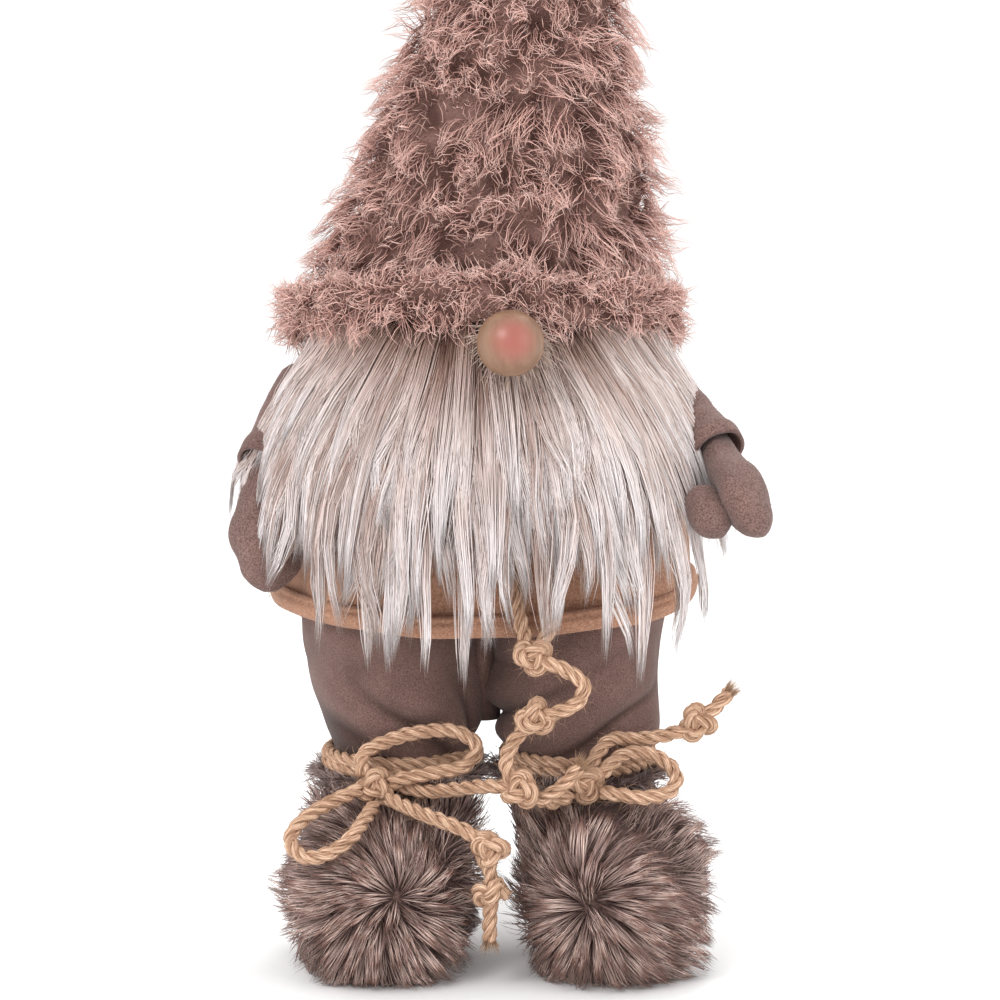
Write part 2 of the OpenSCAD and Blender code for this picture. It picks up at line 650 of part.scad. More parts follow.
sole(left_boot_x);  // left_sole
sole(right_boot_x);  // right_sole
boot_weight(left_boot_x);  // left_boot_weight
boot_weight(right_boot_x);  // right_boot_weight
boot_stuffing(left_boot_x, left_ankle_x);  // left_boot_stuffing
boot_stuffing(right_boot_x, right_ankle_x);  // right_boot_stuffing
boot_fur(left_boot_x, left_ankle_x);  // left_boot_fur
boot_fur(right_boot_x, right_ankle_x);  // right_boot_fur
boot_cuff(left_ankle_x);  // left_boot_cuff
boot_cuff(right_ankle_x);  // right_boot_cuff
leg_rod(left_ankle_x);  // left_leg_rod
leg_rod(right_ankle_x);  // right_leg_rod
leg_stuffing(-1, left_ankle_x);  // left_leg_stuffing
leg_stuffing(1, right_ankle_x);  // right_leg_stuffing
trouser_leg(-1, left_ankle_x);  // left_trouser_leg
trouser_leg(1, right_ankle_x);  // right_trouser_leg
trouser_seat();
body_board();
torso_stuffing();
tunic();
tunic_hem();
hat_stuffing();
hat_lining();
hat_wool();
hat_brim();
nose();
nose_dowel();
beard_stitching();
beard_backing();
beard_fur();
shoulder_stitching(-1, left_shoulder);  // left_shoulder_stitching
shoulder_stitching(1, right_shoulder);  // right_shoulder_stitching
arm_wire(left_shoulder, left_wrist);  // left_arm_wire
arm_wire(right_shoulder, right_wrist);  // right_arm_wire
sleeve_stuffing(left_shoulder, left_wrist);  // left_sleeve_stuffing
sleeve_stuffing(right_shoulder, right_wrist);  // right_sleeve_stuffing
sleeve(left_shoulder, left_wrist);  // left_sleeve
sleeve(right_shoulder, right_wrist);  // right_sleeve
hand_wire(left_wrist, left_tip);  // left_hand_wire
hand_wire(right_wrist, right_tip);  // right_hand_wire
mitten_stuffing(left_wrist, left_tip, left_palm_side);  // left_mitten_stuffing
mitten_stuffing(right_wrist, right_tip, right_palm_side);  // right_mitten_stuffing
mitten(left_wrist, left_tip, left_palm_side);  // left_mitten
mitten(right_wrist, right_tip, right_palm_side);  // right_mitten
thumb(left_wrist, left_tip, left_palm_side, 1, 8);  // left_thumb
thumb(right_wrist, right_tip, right_palm_side, -1, -4);  // right_thumb
ankle_wrap(left_ankle_x);  // left_ankle_wrap
ankle_wrap(right_ankle_x);  // right_ankle_wrap
bow_knots();
front_knots();
tail_knots();
color(JUTE) tube(front_rope_route, rope_d);  // front_rope
color(JUTE) tube(front_strand_route, rope_d);  // front_strand
color(JUTE) tube(left_upper_route, rope_d);  // left_upper_loop
color(JUTE) tube(left_lower_route, rope_d);  // left_lower_loop
color(JUTE) tube(left_tail_route, rope_d);  // left_tail
color(JUTE) tube(right_loop_route, rope_d);  // right_loop
color(JUTE) tube(right_tail_route, rope_d);  // right_tail
color(JUTE) tube(ankle_tie_route, rope_d);  // ankle_tie
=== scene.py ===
# %% [markdown]
# # A standing tomte gnome
#
# The figure is about 60 cm tall: a curly-wool hat, a long fake-fur beard, a wooden nose, a felt tunic
# and trousers, fur boots, and jute rope tied round the ankles. Nearly everything that shows is soft,
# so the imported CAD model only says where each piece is, and this lesson makes what the eye sees.
#
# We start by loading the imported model. Its nodes stay where they are: soft ones are replaced by new
# pieces, and hard ones, such as the leg rods, get a better material.

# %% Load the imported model
import json
import math

import bpy
import numpy as np
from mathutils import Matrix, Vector


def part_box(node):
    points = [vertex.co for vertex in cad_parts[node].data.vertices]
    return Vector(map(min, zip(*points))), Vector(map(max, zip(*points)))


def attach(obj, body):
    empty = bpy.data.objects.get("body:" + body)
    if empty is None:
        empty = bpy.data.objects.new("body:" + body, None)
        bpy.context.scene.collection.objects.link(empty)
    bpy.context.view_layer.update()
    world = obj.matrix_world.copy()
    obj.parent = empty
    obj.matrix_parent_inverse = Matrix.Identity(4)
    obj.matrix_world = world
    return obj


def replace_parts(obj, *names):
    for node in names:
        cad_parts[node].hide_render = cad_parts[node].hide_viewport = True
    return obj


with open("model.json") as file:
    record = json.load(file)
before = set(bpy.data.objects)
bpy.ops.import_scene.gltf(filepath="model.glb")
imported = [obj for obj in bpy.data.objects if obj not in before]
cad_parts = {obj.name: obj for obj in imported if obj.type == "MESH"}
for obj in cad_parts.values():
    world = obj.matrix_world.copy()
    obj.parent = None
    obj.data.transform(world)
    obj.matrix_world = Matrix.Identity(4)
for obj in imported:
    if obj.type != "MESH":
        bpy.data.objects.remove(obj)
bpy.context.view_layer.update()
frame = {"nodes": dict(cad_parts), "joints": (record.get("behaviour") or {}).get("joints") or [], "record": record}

# %% [markdown]
# ## Camera
#
# A long lens flattens the figure, as in a product picture. The camera stands a little above the
# middle and looks slightly down. The hat's tip is left out of the picture.

# %% Camera
camera_place = Vector((0.0, -1.80, 0.49))
camera_target = Vector((0.0, 0.0, 0.226))
lens_mm = 131.0
shift_across = -0.002

camera_data = bpy.data.cameras.new("camera")
camera_data.lens = lens_mm
camera_data.shift_x = shift_across
camera = bpy.data.objects.new("camera", camera_data)
camera.location = camera_place
camera.rotation_euler = (camera_target - camera_place).to_track_quat("-Z", "Y").to_euler()
bpy.context.scene.collection.objects.link(camera)
bpy.context.scene.camera = camera
bpy.context.scene.view_settings.view_transform = "Standard"
down = camera_place - camera_target
print("camera looks down by", round(math.degrees(math.atan2(down.z, -down.y)), 1), "degrees")

# %% [markdown]
# ## Small tools
#
# Every new piece is an array of points worked out with numpy and put into a mesh in one go. A piece
# is placed by `new_piece`, which also says which body it rides on and which finish it has.

# %% Tools for points and meshes
def unit(v):
    """Each vector divided by its own length."""
    return v / np.maximum(np.linalg.norm(v, axis=-1, keepdims=True), 1e-12)


def new_piece(name, points, faces, finish, body, layers=None, uv=None):
    """A mesh from points and a list of face arrays, one array for each number of corners."""
    mesh = bpy.data.meshes.new(name)
    corners = np.concatenate([f.ravel() for f in faces])
    sizes = np.concatenate([np.full(len(f), f.shape[1]) for f in faces])
    mesh.vertices.add(len(points))
    mesh.loops.add(len(corners))
    mesh.polygons.add(len(sizes))
    mesh.vertices.foreach_set("co", np.ascontiguousarray(points, dtype=np.float32).ravel())
    mesh.loops.foreach_set("vertex_index", corners.astype(np.int32))
    starts = np.concatenate([[0], np.cumsum(sizes)[:-1]])
    mesh.polygons.foreach_set("loop_start", starts.astype(np.int32))
    mesh.polygons.foreach_set("use_smooth", np.ones(len(sizes), dtype=bool))
    mesh.update(calc_edges=True)
    for layer, values in (layers or {}).items():
        kind, field = ("FLOAT_VECTOR", "vector") if values.ndim == 2 else ("FLOAT", "value")
        attribute = mesh.attributes.new(layer, kind, "POINT")
        attribute.data.foreach_set(field, values.astype(np.float32).ravel())
    if uv is not None:
        mesh.uv_layers.new(name="OFBake").data.foreach_set("uv", uv.astype(np.float32).ravel())
    mesh.materials.append(finish)
    piece = bpy.data.objects.new(name, mesh)
    bpy.context.scene.collection.objects.link(piece)
    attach(piece, body)
    triangles = int((sizes - 2).sum())
    print(f"{name}: {len(points)} points, {triangles} triangles")
    return piece


def tube_faces(rings, around, closed_ends=True):
    """Quads between each ring and the next, and a fan to one middle point at each end."""
    ring = np.arange(rings - 1)[:, None] * around
    i = np.arange(around)[None, :]
    j = (i + 1) % around
    quads = np.stack([ring + i, ring + j, ring + around + j, ring + around + i], axis=-1).reshape(-1, 4)
    if not closed_ends:
        return [quads]
    low, high, last = rings * around, rings * around + 1, (rings - 1) * around
    i, j = i[0], j[0]
    foot = np.stack([np.full(around, low), j, i], axis=-1)
    top = np.stack([np.full(around, high), last + i, last + j], axis=-1)
    return [quads, np.concatenate([foot, top])]


def closed_tube(grid):
    """Points and faces of a tube of rings, grid[ring, around], closed by a point at each end."""
    rings, around, _ = grid.shape
    points = np.concatenate([grid.reshape(-1, 3), grid[:1].mean(axis=1), grid[-1:].mean(axis=1)])
    return points, tube_faces(rings, around)


def waves(points, size, seed, count=24):
    """Soft noise: the sum of plane waves sin(k.p + phase) with random directions, each about `size`
    long, divided so that its spread is about 1."""
    dice = np.random.default_rng(seed)
    direction = unit(dice.normal(size=(count, 3)))
    k = direction * (2 * np.pi / (size * dice.uniform(0.75, 1.35, (count, 1))))
    phase = dice.uniform(0, 2 * np.pi, count)
    return np.sin(points @ k.T + phase).sum(axis=-1) * math.sqrt(2.0 / count)


# %% [markdown]
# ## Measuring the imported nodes
#
# The soft pieces take their size from the CAD solids. A node is cut across at many levels, and the
# cut's middle and half widths are all that an oval tunic, leg, boot or hat needs.

# %% Tools that measure a node
def corners_and_normals(piece):
    """A mesh's corner points and the outward direction at each of them."""
    mesh = piece.data
    at, out = np.empty(len(mesh.vertices) * 3), np.empty(len(mesh.vertices) * 3)
    mesh.vertices.foreach_get("co", at)
    mesh.vertices.foreach_get("normal", out)
    return at.reshape(-1, 3), out.reshape(-1, 3)


def node_points(node):
    """A node's corner points, and its edges as pairs of them."""
    mesh = frame["nodes"][node].data
    points = np.empty(len(mesh.vertices) * 3)
    edges = np.empty(len(mesh.edges) * 2, dtype=np.int32)
    mesh.vertices.foreach_get("co", points)
    mesh.edges.foreach_get("vertices", edges)
    return points.reshape(-1, 3), edges.reshape(-1, 2)


def outline(node, levels, origin=(0, 0, 0), side=(1, 0, 0), up=(0, 1, 0)):
    """Cuts a node across at each level h: an edge from a to b that passes it gives the point
    a + (b - a)(h - ha) / (hb - ha). Returns the middle and the half width along `side` and `up`."""
    points, edges = node_points(node)
    axes = np.stack([side, up, np.cross(side, up)], axis=1)
    local = (points - np.asarray(origin)) @ axes
    a, b = local[edges[:, 0]], local[edges[:, 1]]
    rows = []
    for h in levels:
        cut = (a[:, 2] - h) * (b[:, 2] - h) < 0
        share = (h - a[cut, 2]) / (b[cut, 2] - a[cut, 2])
        crossing = a[cut, :2] + (b[cut, :2] - a[cut, :2]) * share[:, None]
        low, high = crossing.min(axis=0), crossing.max(axis=0)
        rows.append([*(low + high) / 2, *(high - low) / 2])
    return np.array(rows)


def ease(rows, passes):
    """Each row becomes half itself and a quarter of each neighbour, `passes` times; ends stay."""
    for _ in range(passes):
        rows[1:-1] = rows[1:-1] / 2 + rows[:-2] / 4 + rows[2:] / 4
    return rows


def oval_body(node, low, high, inset=0.0, steps=60, passes=3):
    """A function of (angle, height) that gives the points of an upright oval body, measured on a node
    from `low` to `high`, `inset` further in: middle + (rx cos angle, ry sin angle)."""
    levels = np.linspace(low, high, steps)
    rows = ease(outline(node, levels), passes)

    def at(angle, z, out=0.0):
        cx, cy, rx, ry = (np.interp(z, levels, rows[:, i]) for i in range(4))
        x = cx + (rx - inset + out) * np.cos(angle)
        y = cy + (ry - inset + out) * np.sin(angle)
        return np.stack([x, y, z + 0 * x], axis=-1)

    return at


def stand_on(surface, angle, z):
    """Points on a surface with their outward normal and two directions along it, from the small steps
    surface(angle + 0.02) - surface(angle - 0.02) and surface(z + 1 mm) - surface(z - 1 mm)."""
    across = surface(angle + 0.02, z) - surface(angle - 0.02, z)
    upward = surface(angle, z + 0.001) - surface(angle, z - 0.001)
    return surface(angle, z), unit(np.cross(across, upward)), unit(across), unit(upward)


# %% [markdown]
# ## Finishes
#
# Each finish is a Principled shader whose colour comes from noise on Object coordinates, or, for
# fibres, from three numbers that each fibre carries: how far along it a point is, a number of its
# own, and a number that its whole lock shares.

# %% Tools for finishes
def new_finish(name, roughness, specular=0.3, sheen=0.0):
    """A material with a Principled shader, with its plain numbers set on the shader itself."""
    finish = bpy.data.materials.new(name)
    finish.use_nodes = True
    shader = finish.node_tree.nodes["Principled BSDF"]
    shader.inputs["Roughness"].default_value = roughness
    shader.inputs["Specular IOR Level"].default_value = specular
    shader.inputs["Sheen Weight"].default_value = sheen
    return finish, shader


def add(finish, kind, inputs=None, **settings):
    """A node; each input is a number, or the output that it is linked from."""
    node = finish.node_tree.nodes.new("ShaderNode" + kind)
    for key, value in settings.items():
        setattr(node, key, value)
    for socket, value in (inputs or {}).items():
        if isinstance(value, bpy.types.NodeSocket):
            finish.node_tree.links.new(value, node.inputs[socket])
        else:
            node.inputs[socket].default_value = value
    return node


def link(finish, output, target):
    """One output joined to one input."""
    finish.node_tree.links.new(output, target)


def ramp(finish, factor, stops):
    """A colour ramp through (place, colour) stops."""
    node = add(finish, "ValToRGB", {"Fac": factor})
    while len(node.color_ramp.elements) < len(stops):
        node.color_ramp.elements.new(0.5)
    for element, (place, colour) in zip(node.color_ramp.elements, stops):
        element.position = place
        element.color = (*colour, 1.0)
    return node.outputs["Color"]


def mixed(finish, factor, a, b, way="MIX"):
    """Colour a and colour b mixed by a factor."""
    node = finish.node_tree.nodes.new("ShaderNodeMix")
    node.data_type = "RGBA"
    node.blend_type = way
    for place, value in ((0, factor), (6, a), (7, b)):
        if isinstance(value, bpy.types.NodeSocket):
            link(finish, value, node.inputs[place])
        else:
            node.inputs[place].default_value = value if place == 0 else (*value, 1.0)
    return node.outputs[2]


def noise(finish, place, scale, detail=4.0, roughness=0.6, stretch=None):
    """Noise on a place socket, in cycles a metre, stretched along an axis if asked."""
    if stretch:
        place = add(finish, "Mapping", {"Vector": place, "Scale": stretch}).outputs["Vector"]
    inputs = {"Vector": place, "Scale": scale, "Detail": detail, "Roughness": roughness}
    return add(finish, "TexNoise", inputs).outputs["Fac"]


def add_bump(finish, shader, height, strength, distance):
    """A height socket made to tilt the shader's surface."""
    node = add(finish, "Bump", {"Height": height, "Strength": strength, "Distance": distance})
    link(finish, node.outputs["Normal"], shader.inputs["Normal"])


def fibre_finish(name, stops, spread=0.3, streak=None, roughness=0.6, specular=0.25):
    """Fibres: the colour runs from root to tip through the stops. Each fibre is lighter or darker by
    up to `spread`, and a lock whose shared number is high leans towards the streak colour."""
    finish, shader = new_finish(name, roughness, specular)
    along = add(finish, "Attribute", attribute_name="along").outputs["Fac"]
    own = add(finish, "Attribute", attribute_name="random").outputs["Fac"]
    lock = add(finish, "Attribute", attribute_name="lock").outputs["Fac"]
    colour = ramp(finish, along, stops)
    if streak:
        leaning = add(finish, "MapRange", {"Value": lock, "From Min": 0.55, "To Max": 0.85})
        colour = mixed(finish, leaning.outputs["Result"], colour, streak)
    value = add(finish, "MapRange", {"Value": own, "To Min": 1.0 - spread, "To Max": 1.0 + spread})
    tinted = add(finish, "HueSaturation", {"Value": value.outputs["Result"], "Color": colour})
    link(finish, tinted.outputs["Color"], shader.inputs["Base Color"])
    return finish


def felt_finish(name, dark, light, grain=900.0, bump=0.5, sheen=0.15, folds=False):
    """Felt: fibres of two colours in a fine heather, cloudy patches, and a fuzzy bump; with `folds`, painted shade
    that darkens the cloth in its creases.
    """
    finish, shader = new_finish(name, 0.95, 0.1, sheen)
    place = add(finish, "TexCoord").outputs["Object"]
    fine = noise(finish, place, grain, 4.0, 0.65)
    cloud = noise(finish, place, 45.0, 3.0)
    heather = ramp(finish, fine, [(0.36, dark), (0.64, light)])
    patch = add(finish, "MapRange", {"Value": cloud, "From Min": 0.3, "From Max": 0.7, "To Min": 0.85,
                                     "To Max": 1.15})
    tinted = add(finish, "HueSaturation", {"Value": patch.outputs["Result"], "Color": heather})
    colour = tinted.outputs["Color"]
    # With folds, the colour is mixed towards a third of the dark fibre colour by crease depth: painted shade in
    # the creases.
    if folds:
        depth = add(finish, "Attribute", attribute_name="painted_crease_shade").outputs["Fac"]
        colour = mixed(finish, depth, colour, tuple(0.35 * c for c in dark))
    link(finish, colour, shader.inputs["Base Color"])
    add_bump(finish, shader, fine, bump, 0.0006)
    return finish


# %% [markdown]
# ## Jute rope
#
# The rope is 6 mm thick, laid from three strands. It is modelled that way: three tubes that turn
# round the rope's middle line, each ridged by the yarns in it, because the twist is what makes it
# look like rope. Loose hairs come later. A smooth line through listed points is each rope's
# route, and the points are those of the rope solids in the imported model.

# %% Rope finish
jute, jute_shader = new_finish("jute", 0.85, 0.2)
straight = add(jute, "Attribute", attribute_name="straight").outputs["Vector"]
jute_fibres = noise(jute, straight, 1400.0, 5.0, 0.7, stretch=(1.0, 1.0, 0.12))
jute_patches = noise(jute, straight, 90.0, 2.0)
jute_colour = ramp(jute, jute_fibres, [(0.30, (0.10, 0.048, 0.028)), (0.48, (0.46, 0.27, 0.175)),
                                       (0.66, (0.95, 0.68, 0.50))])
jute_darker = add(jute, "MapRange", {"Value": jute_patches, "From Min": 0.35, "From Max": 0.7,
                                     "To Max": 0.35})
jute_colour = mixed(jute, jute_darker.outputs["Result"], jute_colour, (0.34, 0.20, 0.115))
link(jute, jute_colour, jute_shader.inputs["Base Color"])
add_bump(jute, jute_shader, jute_fibres, 0.7, 0.0005)
print("rope finish made")

# %% [markdown]
# ## Where the ropes run
#
# A rope that lies in loops has no formula, so its route is a short list of places given in
# millimetres, the same as in the imported model's plan. A curve object with a bevel could carry it, but
# an evenly spaced line of points lets us lay the strands and the hairs on it ourselves.

# %% Rope routes
rope_thick = 0.006
routes_mm = {
    "front_rope": [[3, -75, 206], [7, -79, 188], [10, -81, 174], [15, -85, 162], [28, -89, 158],
                   [39, -90, 150], [35, -89, 140], [20, -86, 133], [8, -84, 124], [2, -82, 112],
                   [5, -82, 101], [16, -82, 92], [28, -80, 97], [38, -80, 108]],
    "front_strand": [[29, -71, 206], [26, -77, 188], [22, -80, 174], [17, -85, 164]],
    "left_upper_loop": [[-68, -58, 98], [-68, -54, 108], [-54, -52, 115], [-38, -52, 119],
                        [-22, -53, 119], [-12, -56, 112], [-18, -62, 104], [-32, -63, 101],
                        [-46, -62, 98], [-55, -61, 95]],
    "left_lower_loop": [[-69, -64, 93], [-84, -74, 88], [-97, -82, 81], [-102, -88, 73],
                        [-96, -92, 66], [-84, -95, 68], [-73, -92, 75], [-66, -80, 82],
                        [-62, -68, 86]],
    "left_tail": [[-56, -66, 89], [-44, -78, 86], [-30, -88, 83], [-16, -93, 78], [-7, -94, 70],
                  [-6, -95, 60], [-5, -94, 49], [-6, -93, 36], [-6, -92, 24]],
    "right_loop": [[48, -60, 99], [60, -54, 108], [75, -53, 107], [85, -57, 99],
                   [82, -65, 92], [70, -70, 90], [58, -69, 91], [48, -66, 92]],
    "right_tail": [[43, -56, 103], [53, -49, 114], [67, -47, 114], [81, -46, 116], [92, -46, 120],
                   [103, -46, 128], [112, -46, 138]],
    "ankle_tie": [[-55, -56, 95], [-40, -60, 91], [-24, -66, 93], [-8, -76, 97], [9, -82, 97],
                  [22, -72, 88], [34, -65, 90]],
}
routes = {name: np.array(points) / 1000 for name, points in routes_mm.items()}


def smooth_line(points, step):
    """A smooth line through the points, Catmull-Rom between each pair, then evenly spaced by `step`:
    p(t) = (2b + (c-a)t + (2a-5b+4c-d)t^2 + (3b-3c+d-a)t^3) / 2 for neighbours a, b, c, d."""
    p = np.concatenate([2 * points[:1] - points[1:2], points, 2 * points[-1:] - points[-2:-1]])
    t = np.linspace(0, 1, 24, endpoint=False)[None, :, None]
    a, b, c, d = (p[i:len(p) - 3 + i, None] for i in range(4))
    line = (2 * b + (c - a) * t + (2 * a - 5 * b + 4 * c - d) * t**2 + (3 * b - 3 * c + d - a) * t**3) / 2
    line = np.concatenate([line.reshape(-1, 3), points[-1:]])
    run = np.concatenate([[0], np.cumsum(np.linalg.norm(np.diff(line, axis=0), axis=1))])
    even = np.linspace(0, run[-1], max(4, int(round(run[-1] / step)) + 1))
    return np.stack([np.interp(even, run, line[:, i]) for i in range(3)], axis=-1)


def length_of(line):
    """A line's length: the sum of its steps."""
    return float(np.linalg.norm(np.diff(line, axis=0), axis=1).sum())


def axes_along(line, reference=(0.15, 1.0, 0.1)):
    """Along a line: its direction t, a side square to it, side = t x reference, and up = t x side."""
    t = unit(np.gradient(line, axis=0))
    side = unit(np.cross(t, np.asarray(reference)))
    return t, side, np.cross(t, side)


# %% [markdown]
# ## Laying the rope
#
# Jute rope is laid: each strand is a bundle of yarns, and three strands turn round one another once
# every few rope widths. We sweep one ridged ring along each strand's own spiral, rather than bend a
# straight rope, so that the strands stay round in a tight bend.

# %% Rope mesh
strand_share = 0.295
lay_length = 0.021
yarns = 5
sides = 10


def rope_mesh(line, thick=rope_thick):
    """Three strands round a line. Strand j's middle is line + o (cos f side + sin f up), with
    f = 2 pi (j / 3 + s / lay length) and o = 1.15 of the strand's radius; its own radius is ridged by
    its yarns, r (1 + 0.07 cos(yarns (angle - 2 pi s / 9 mm)))."""
    radius = strand_share * thick
    run = np.concatenate([[0], np.cumsum(np.linalg.norm(np.diff(line, axis=0), axis=1))])
    _, side, up = axes_along(line)
    angle = np.linspace(0, 2 * np.pi, sides, endpoint=False)
    all_points, all_faces, all_straight, offset = [], [[], []], [], 0
    for j in range(3):
        turn = 2 * np.pi * (j / 3 + run / lay_length)
        out = np.cos(turn)[:, None] * side + np.sin(turn)[:, None] * up
        middle = line + 1.15 * radius * out
        _, s, u = axes_along(middle)
        ridged = radius * (1 + 0.07 * np.cos(yarns * (angle[None] - 2 * np.pi * run[:, None] / 0.009)))
        ends = np.minimum(1, np.minimum(run, run[-1] - run) / 0.0012 + 0.55)
        ridged = ridged * ends[:, None]
        ring = np.cos(angle)[None, :, None] * s[:, None] + np.sin(angle)[None, :, None] * u[:, None]
        grid = middle[:, None] + ridged[:, :, None] * ring
        points, faces = closed_tube(grid)
        flat = np.stack([radius * np.cos(angle)[None] + 0 * run[:, None],
                         radius * np.sin(angle)[None] + 0 * run[:, None],
                         run[:, None] + 0.35 * j + 0 * angle[None]], axis=-1).reshape(-1, 3)
        all_points.append(points)
        all_straight.append(np.concatenate([flat, flat[:1], flat[-1:]]))
        for kind in range(2):
            all_faces[kind].append(faces[kind] + offset)
        offset += len(points)
    all_faces = [np.concatenate(kind) for kind in all_faces]
    return np.concatenate(all_points), all_faces, np.concatenate(all_straight)


def rope_piece(name, line):
    """One piece of rope along a line. Its `straight` layer is the place each point had before laying."""
    points, faces, straight = rope_mesh(line)
    return new_piece(name, points, faces, jute, "figure", {"straight": straight})


# %% [markdown]
# ## Knots
#
# A tight overhand knot has the same three crossings as a trefoil, so each knot is a small closed
# trefoil of the same rope. It sits over the place where the free ropes meet, and its open middle is
# filled by the rope that runs through it.

# %% Ropes and knots
rope_step = 0.0017
knot_reach = 0.0023
knots = {
    "bow_knots": [(-0.062, -0.060, 0.093), (0.041, -0.062, 0.095)],
    "front_knots": [(0.015, -0.086, 0.163), (0.016, -0.086, 0.133), (0.009, -0.084, 0.097)],
    "tail_knots": [(-0.006, -0.094, 0.070), (-0.005, -0.094, 0.049), (0.096, -0.046, 0.122)],
}


def knot_line(place, seed):
    """A trefoil: (sin t + 2 sin 2t, cos t - 2 cos 2t, -sin 3t) times the reach, turned about a random
    axis near the front-to-back line."""
    dice = np.random.default_rng(seed)
    t = np.linspace(0, 2 * np.pi, 60)
    across, upward = np.sin(t) + 2 * np.sin(2 * t), np.cos(t) - 2 * np.cos(2 * t)
    loop = np.stack([across, upward, -1.15 * np.sin(3 * t)], axis=-1)
    front = unit(np.array([0.0, -1.0, 0.0]) + dice.normal(0, 0.35, 3))
    right = unit(np.cross(front, unit(dice.normal(size=3))))
    turned = loop @ np.stack([right, np.cross(front, right), front])
    return np.asarray(place) + knot_reach * turned


knot_pieces, knot_lines = [], []
for node, places in knots.items():
    for place in places:
        knot_lines.append(knot_line(place, len(knot_lines)))
        knot_pieces.append(rope_piece(f"{node}_{len(knot_lines)}", knot_lines[-1]))
        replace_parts(knot_pieces[-1], node)

rope_lines = {name: smooth_line(points, rope_step) for name, points in routes.items()}
for name, line in rope_lines.items():
    piece = rope_piece(name + "_jute", line)
    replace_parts(piece, name)
    print(f"  {name}: {1000 * length_of(line):.0f} mm long")

# %% [markdown]
# ## Rope round the ankles
#
# The rope passes twice round each ankle, over the trouser leg and above the boot's fur. It lies tight
# there, so an oval spiral that climbs by about one rope width is enough.

# %% Two turns of rope round each ankle
wrap_lines = {}
for side in ("left", "right"):
    low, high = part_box(side + "_ankle_wrap")
    half_x, half_y = (high.x - low.x) / 2 - rope_thick / 2, (high.y - low.y) / 2 - rope_thick / 2
    t = np.linspace(0, 4 * np.pi, 370)
    climb = np.clip((t / (2 * np.pi) - 0.35) / 1.3, 0, 1)
    x = (low.x + high.x) / 2 + half_x * np.cos(t)
    y = (low.y + high.y) / 2 + half_y * np.sin(t)
    z = low.z + rope_thick / 2 + (high.z - low.z - rope_thick) * climb
    wrap_lines[side] = np.stack([x, y, z], axis=-1)
    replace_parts(rope_piece(side + "_ankle_rope", wrap_lines[side]), side + "_ankle_wrap")

# %% [markdown]
# ## Fibres
#
# Fur, wool, felt fuzz and rope hairs are all thin fibres. Thousands of curves would be slow, and a
# curve has no place for colours of its own, so `fibres` makes one mesh of closed three-sided spikes.
# Each fibre also gets its own small square in a picture-making layout, side by side.

# %% Fibres
def fibres(name, paths, radius, finish, body, lock=None, seed=0):
    """Spikes along paths[fibre, point]. Around each point stand three corners, p + r (cos a side +
    sin a up), at a = 0, 120 and 240 degrees; the last point is the tip itself."""
    count, steps, _ = paths.shape
    rings = steps - 1
    t = unit(np.gradient(paths, axis=1))
    least = np.argmin(np.abs(t.mean(axis=1)), axis=1)
    side = unit(np.cross(t, np.eye(3)[least][:, None]))
    up = np.cross(t, side)
    radius = np.broadcast_to(radius, (count, steps))[:, :rings, None, None]
    a = np.arange(3) * 2 * np.pi / 3
    ring = np.cos(a)[:, None] * side[:, :rings, None] + np.sin(a)[:, None] * up[:, :rings, None]
    body_points = (paths[:, :rings, None] + radius * ring).reshape(count, rings * 3, 3)
    points = np.concatenate([body_points, paths[:, -1:]], axis=1)
    each = rings * 3 + 1
    k = np.arange(rings - 1)[:, None] * 3
    i = np.arange(3)[None]
    j = (i + 1) % 3
    quads = np.stack([k + i, k + j, k + 3 + j, k + 3 + i], axis=-1).reshape(-1, 4)
    last = (rings - 1) * 3
    tips = np.stack([last + i[0], last + j[0], np.full(3, each - 1)], axis=-1)
    ends = np.concatenate([tips, [[0, 2, 1]]])
    start = np.arange(count)[:, None, None] * each
    faces = [(quads + start).reshape(-1, 4), (ends + start).reshape(-1, 3)]

    cells = math.ceil(math.sqrt(count))
    corner = np.stack([np.arange(count) % cells, np.arange(count) // cells], axis=-1) / cells
    ki = np.repeat(np.arange(rings - 1), 3)
    ii = np.tile(np.arange(3), rings - 1)
    u = np.stack([ii, ii + 1, ii + 1, ii], axis=-1) / 3
    v = np.stack([ki, ki, ki + 1, ki + 1], axis=-1) / rings
    quad_uv = np.stack([u, v], axis=-1).reshape(-1, 2)
    tip_u = np.stack([np.arange(3), np.arange(3) + 1, np.arange(3) + 0.5], axis=-1) / 3
    tip_v = np.broadcast_to(np.array([rings - 1, rings - 1, rings]) / rings, (3, 3))
    tip_uv = np.stack([tip_u, tip_v], axis=-1).reshape(-1, 2)
    cap_uv = np.array([[0.0, 0.0], [0.6, 0.0], [0.3, 0.02]])
    end_uv = np.concatenate([tip_uv, cap_uv])
    place = corner[:, None]
    uv = np.concatenate([(place + (0.1 + 0.8 * quad_uv) / cells).reshape(-1, 2),
                         (place + (0.1 + 0.8 * end_uv) / cells).reshape(-1, 2)])

    dice = np.random.default_rng(seed)
    along = np.concatenate([np.repeat(np.arange(rings) / rings, 3), [1.0]])
    layers = {"along": np.tile(along, count), "random": np.repeat(dice.uniform(size=count), each),
              "lock": np.repeat(dice.uniform(size=count) if lock is None else lock, each)}
    return new_piece(name, points.reshape(-1, 3), faces, finish, body, layers, uv)


def arcs(root, start, bend, length, steps):
    """Fibres that leave their root along `start` and bend: root + length (start t + bend t^2)."""
    t = np.linspace(0, 1, steps)[None, :, None]
    return root[:, None] + length[:, None, None] * (start[:, None] * t + bend[:, None] * t * t)


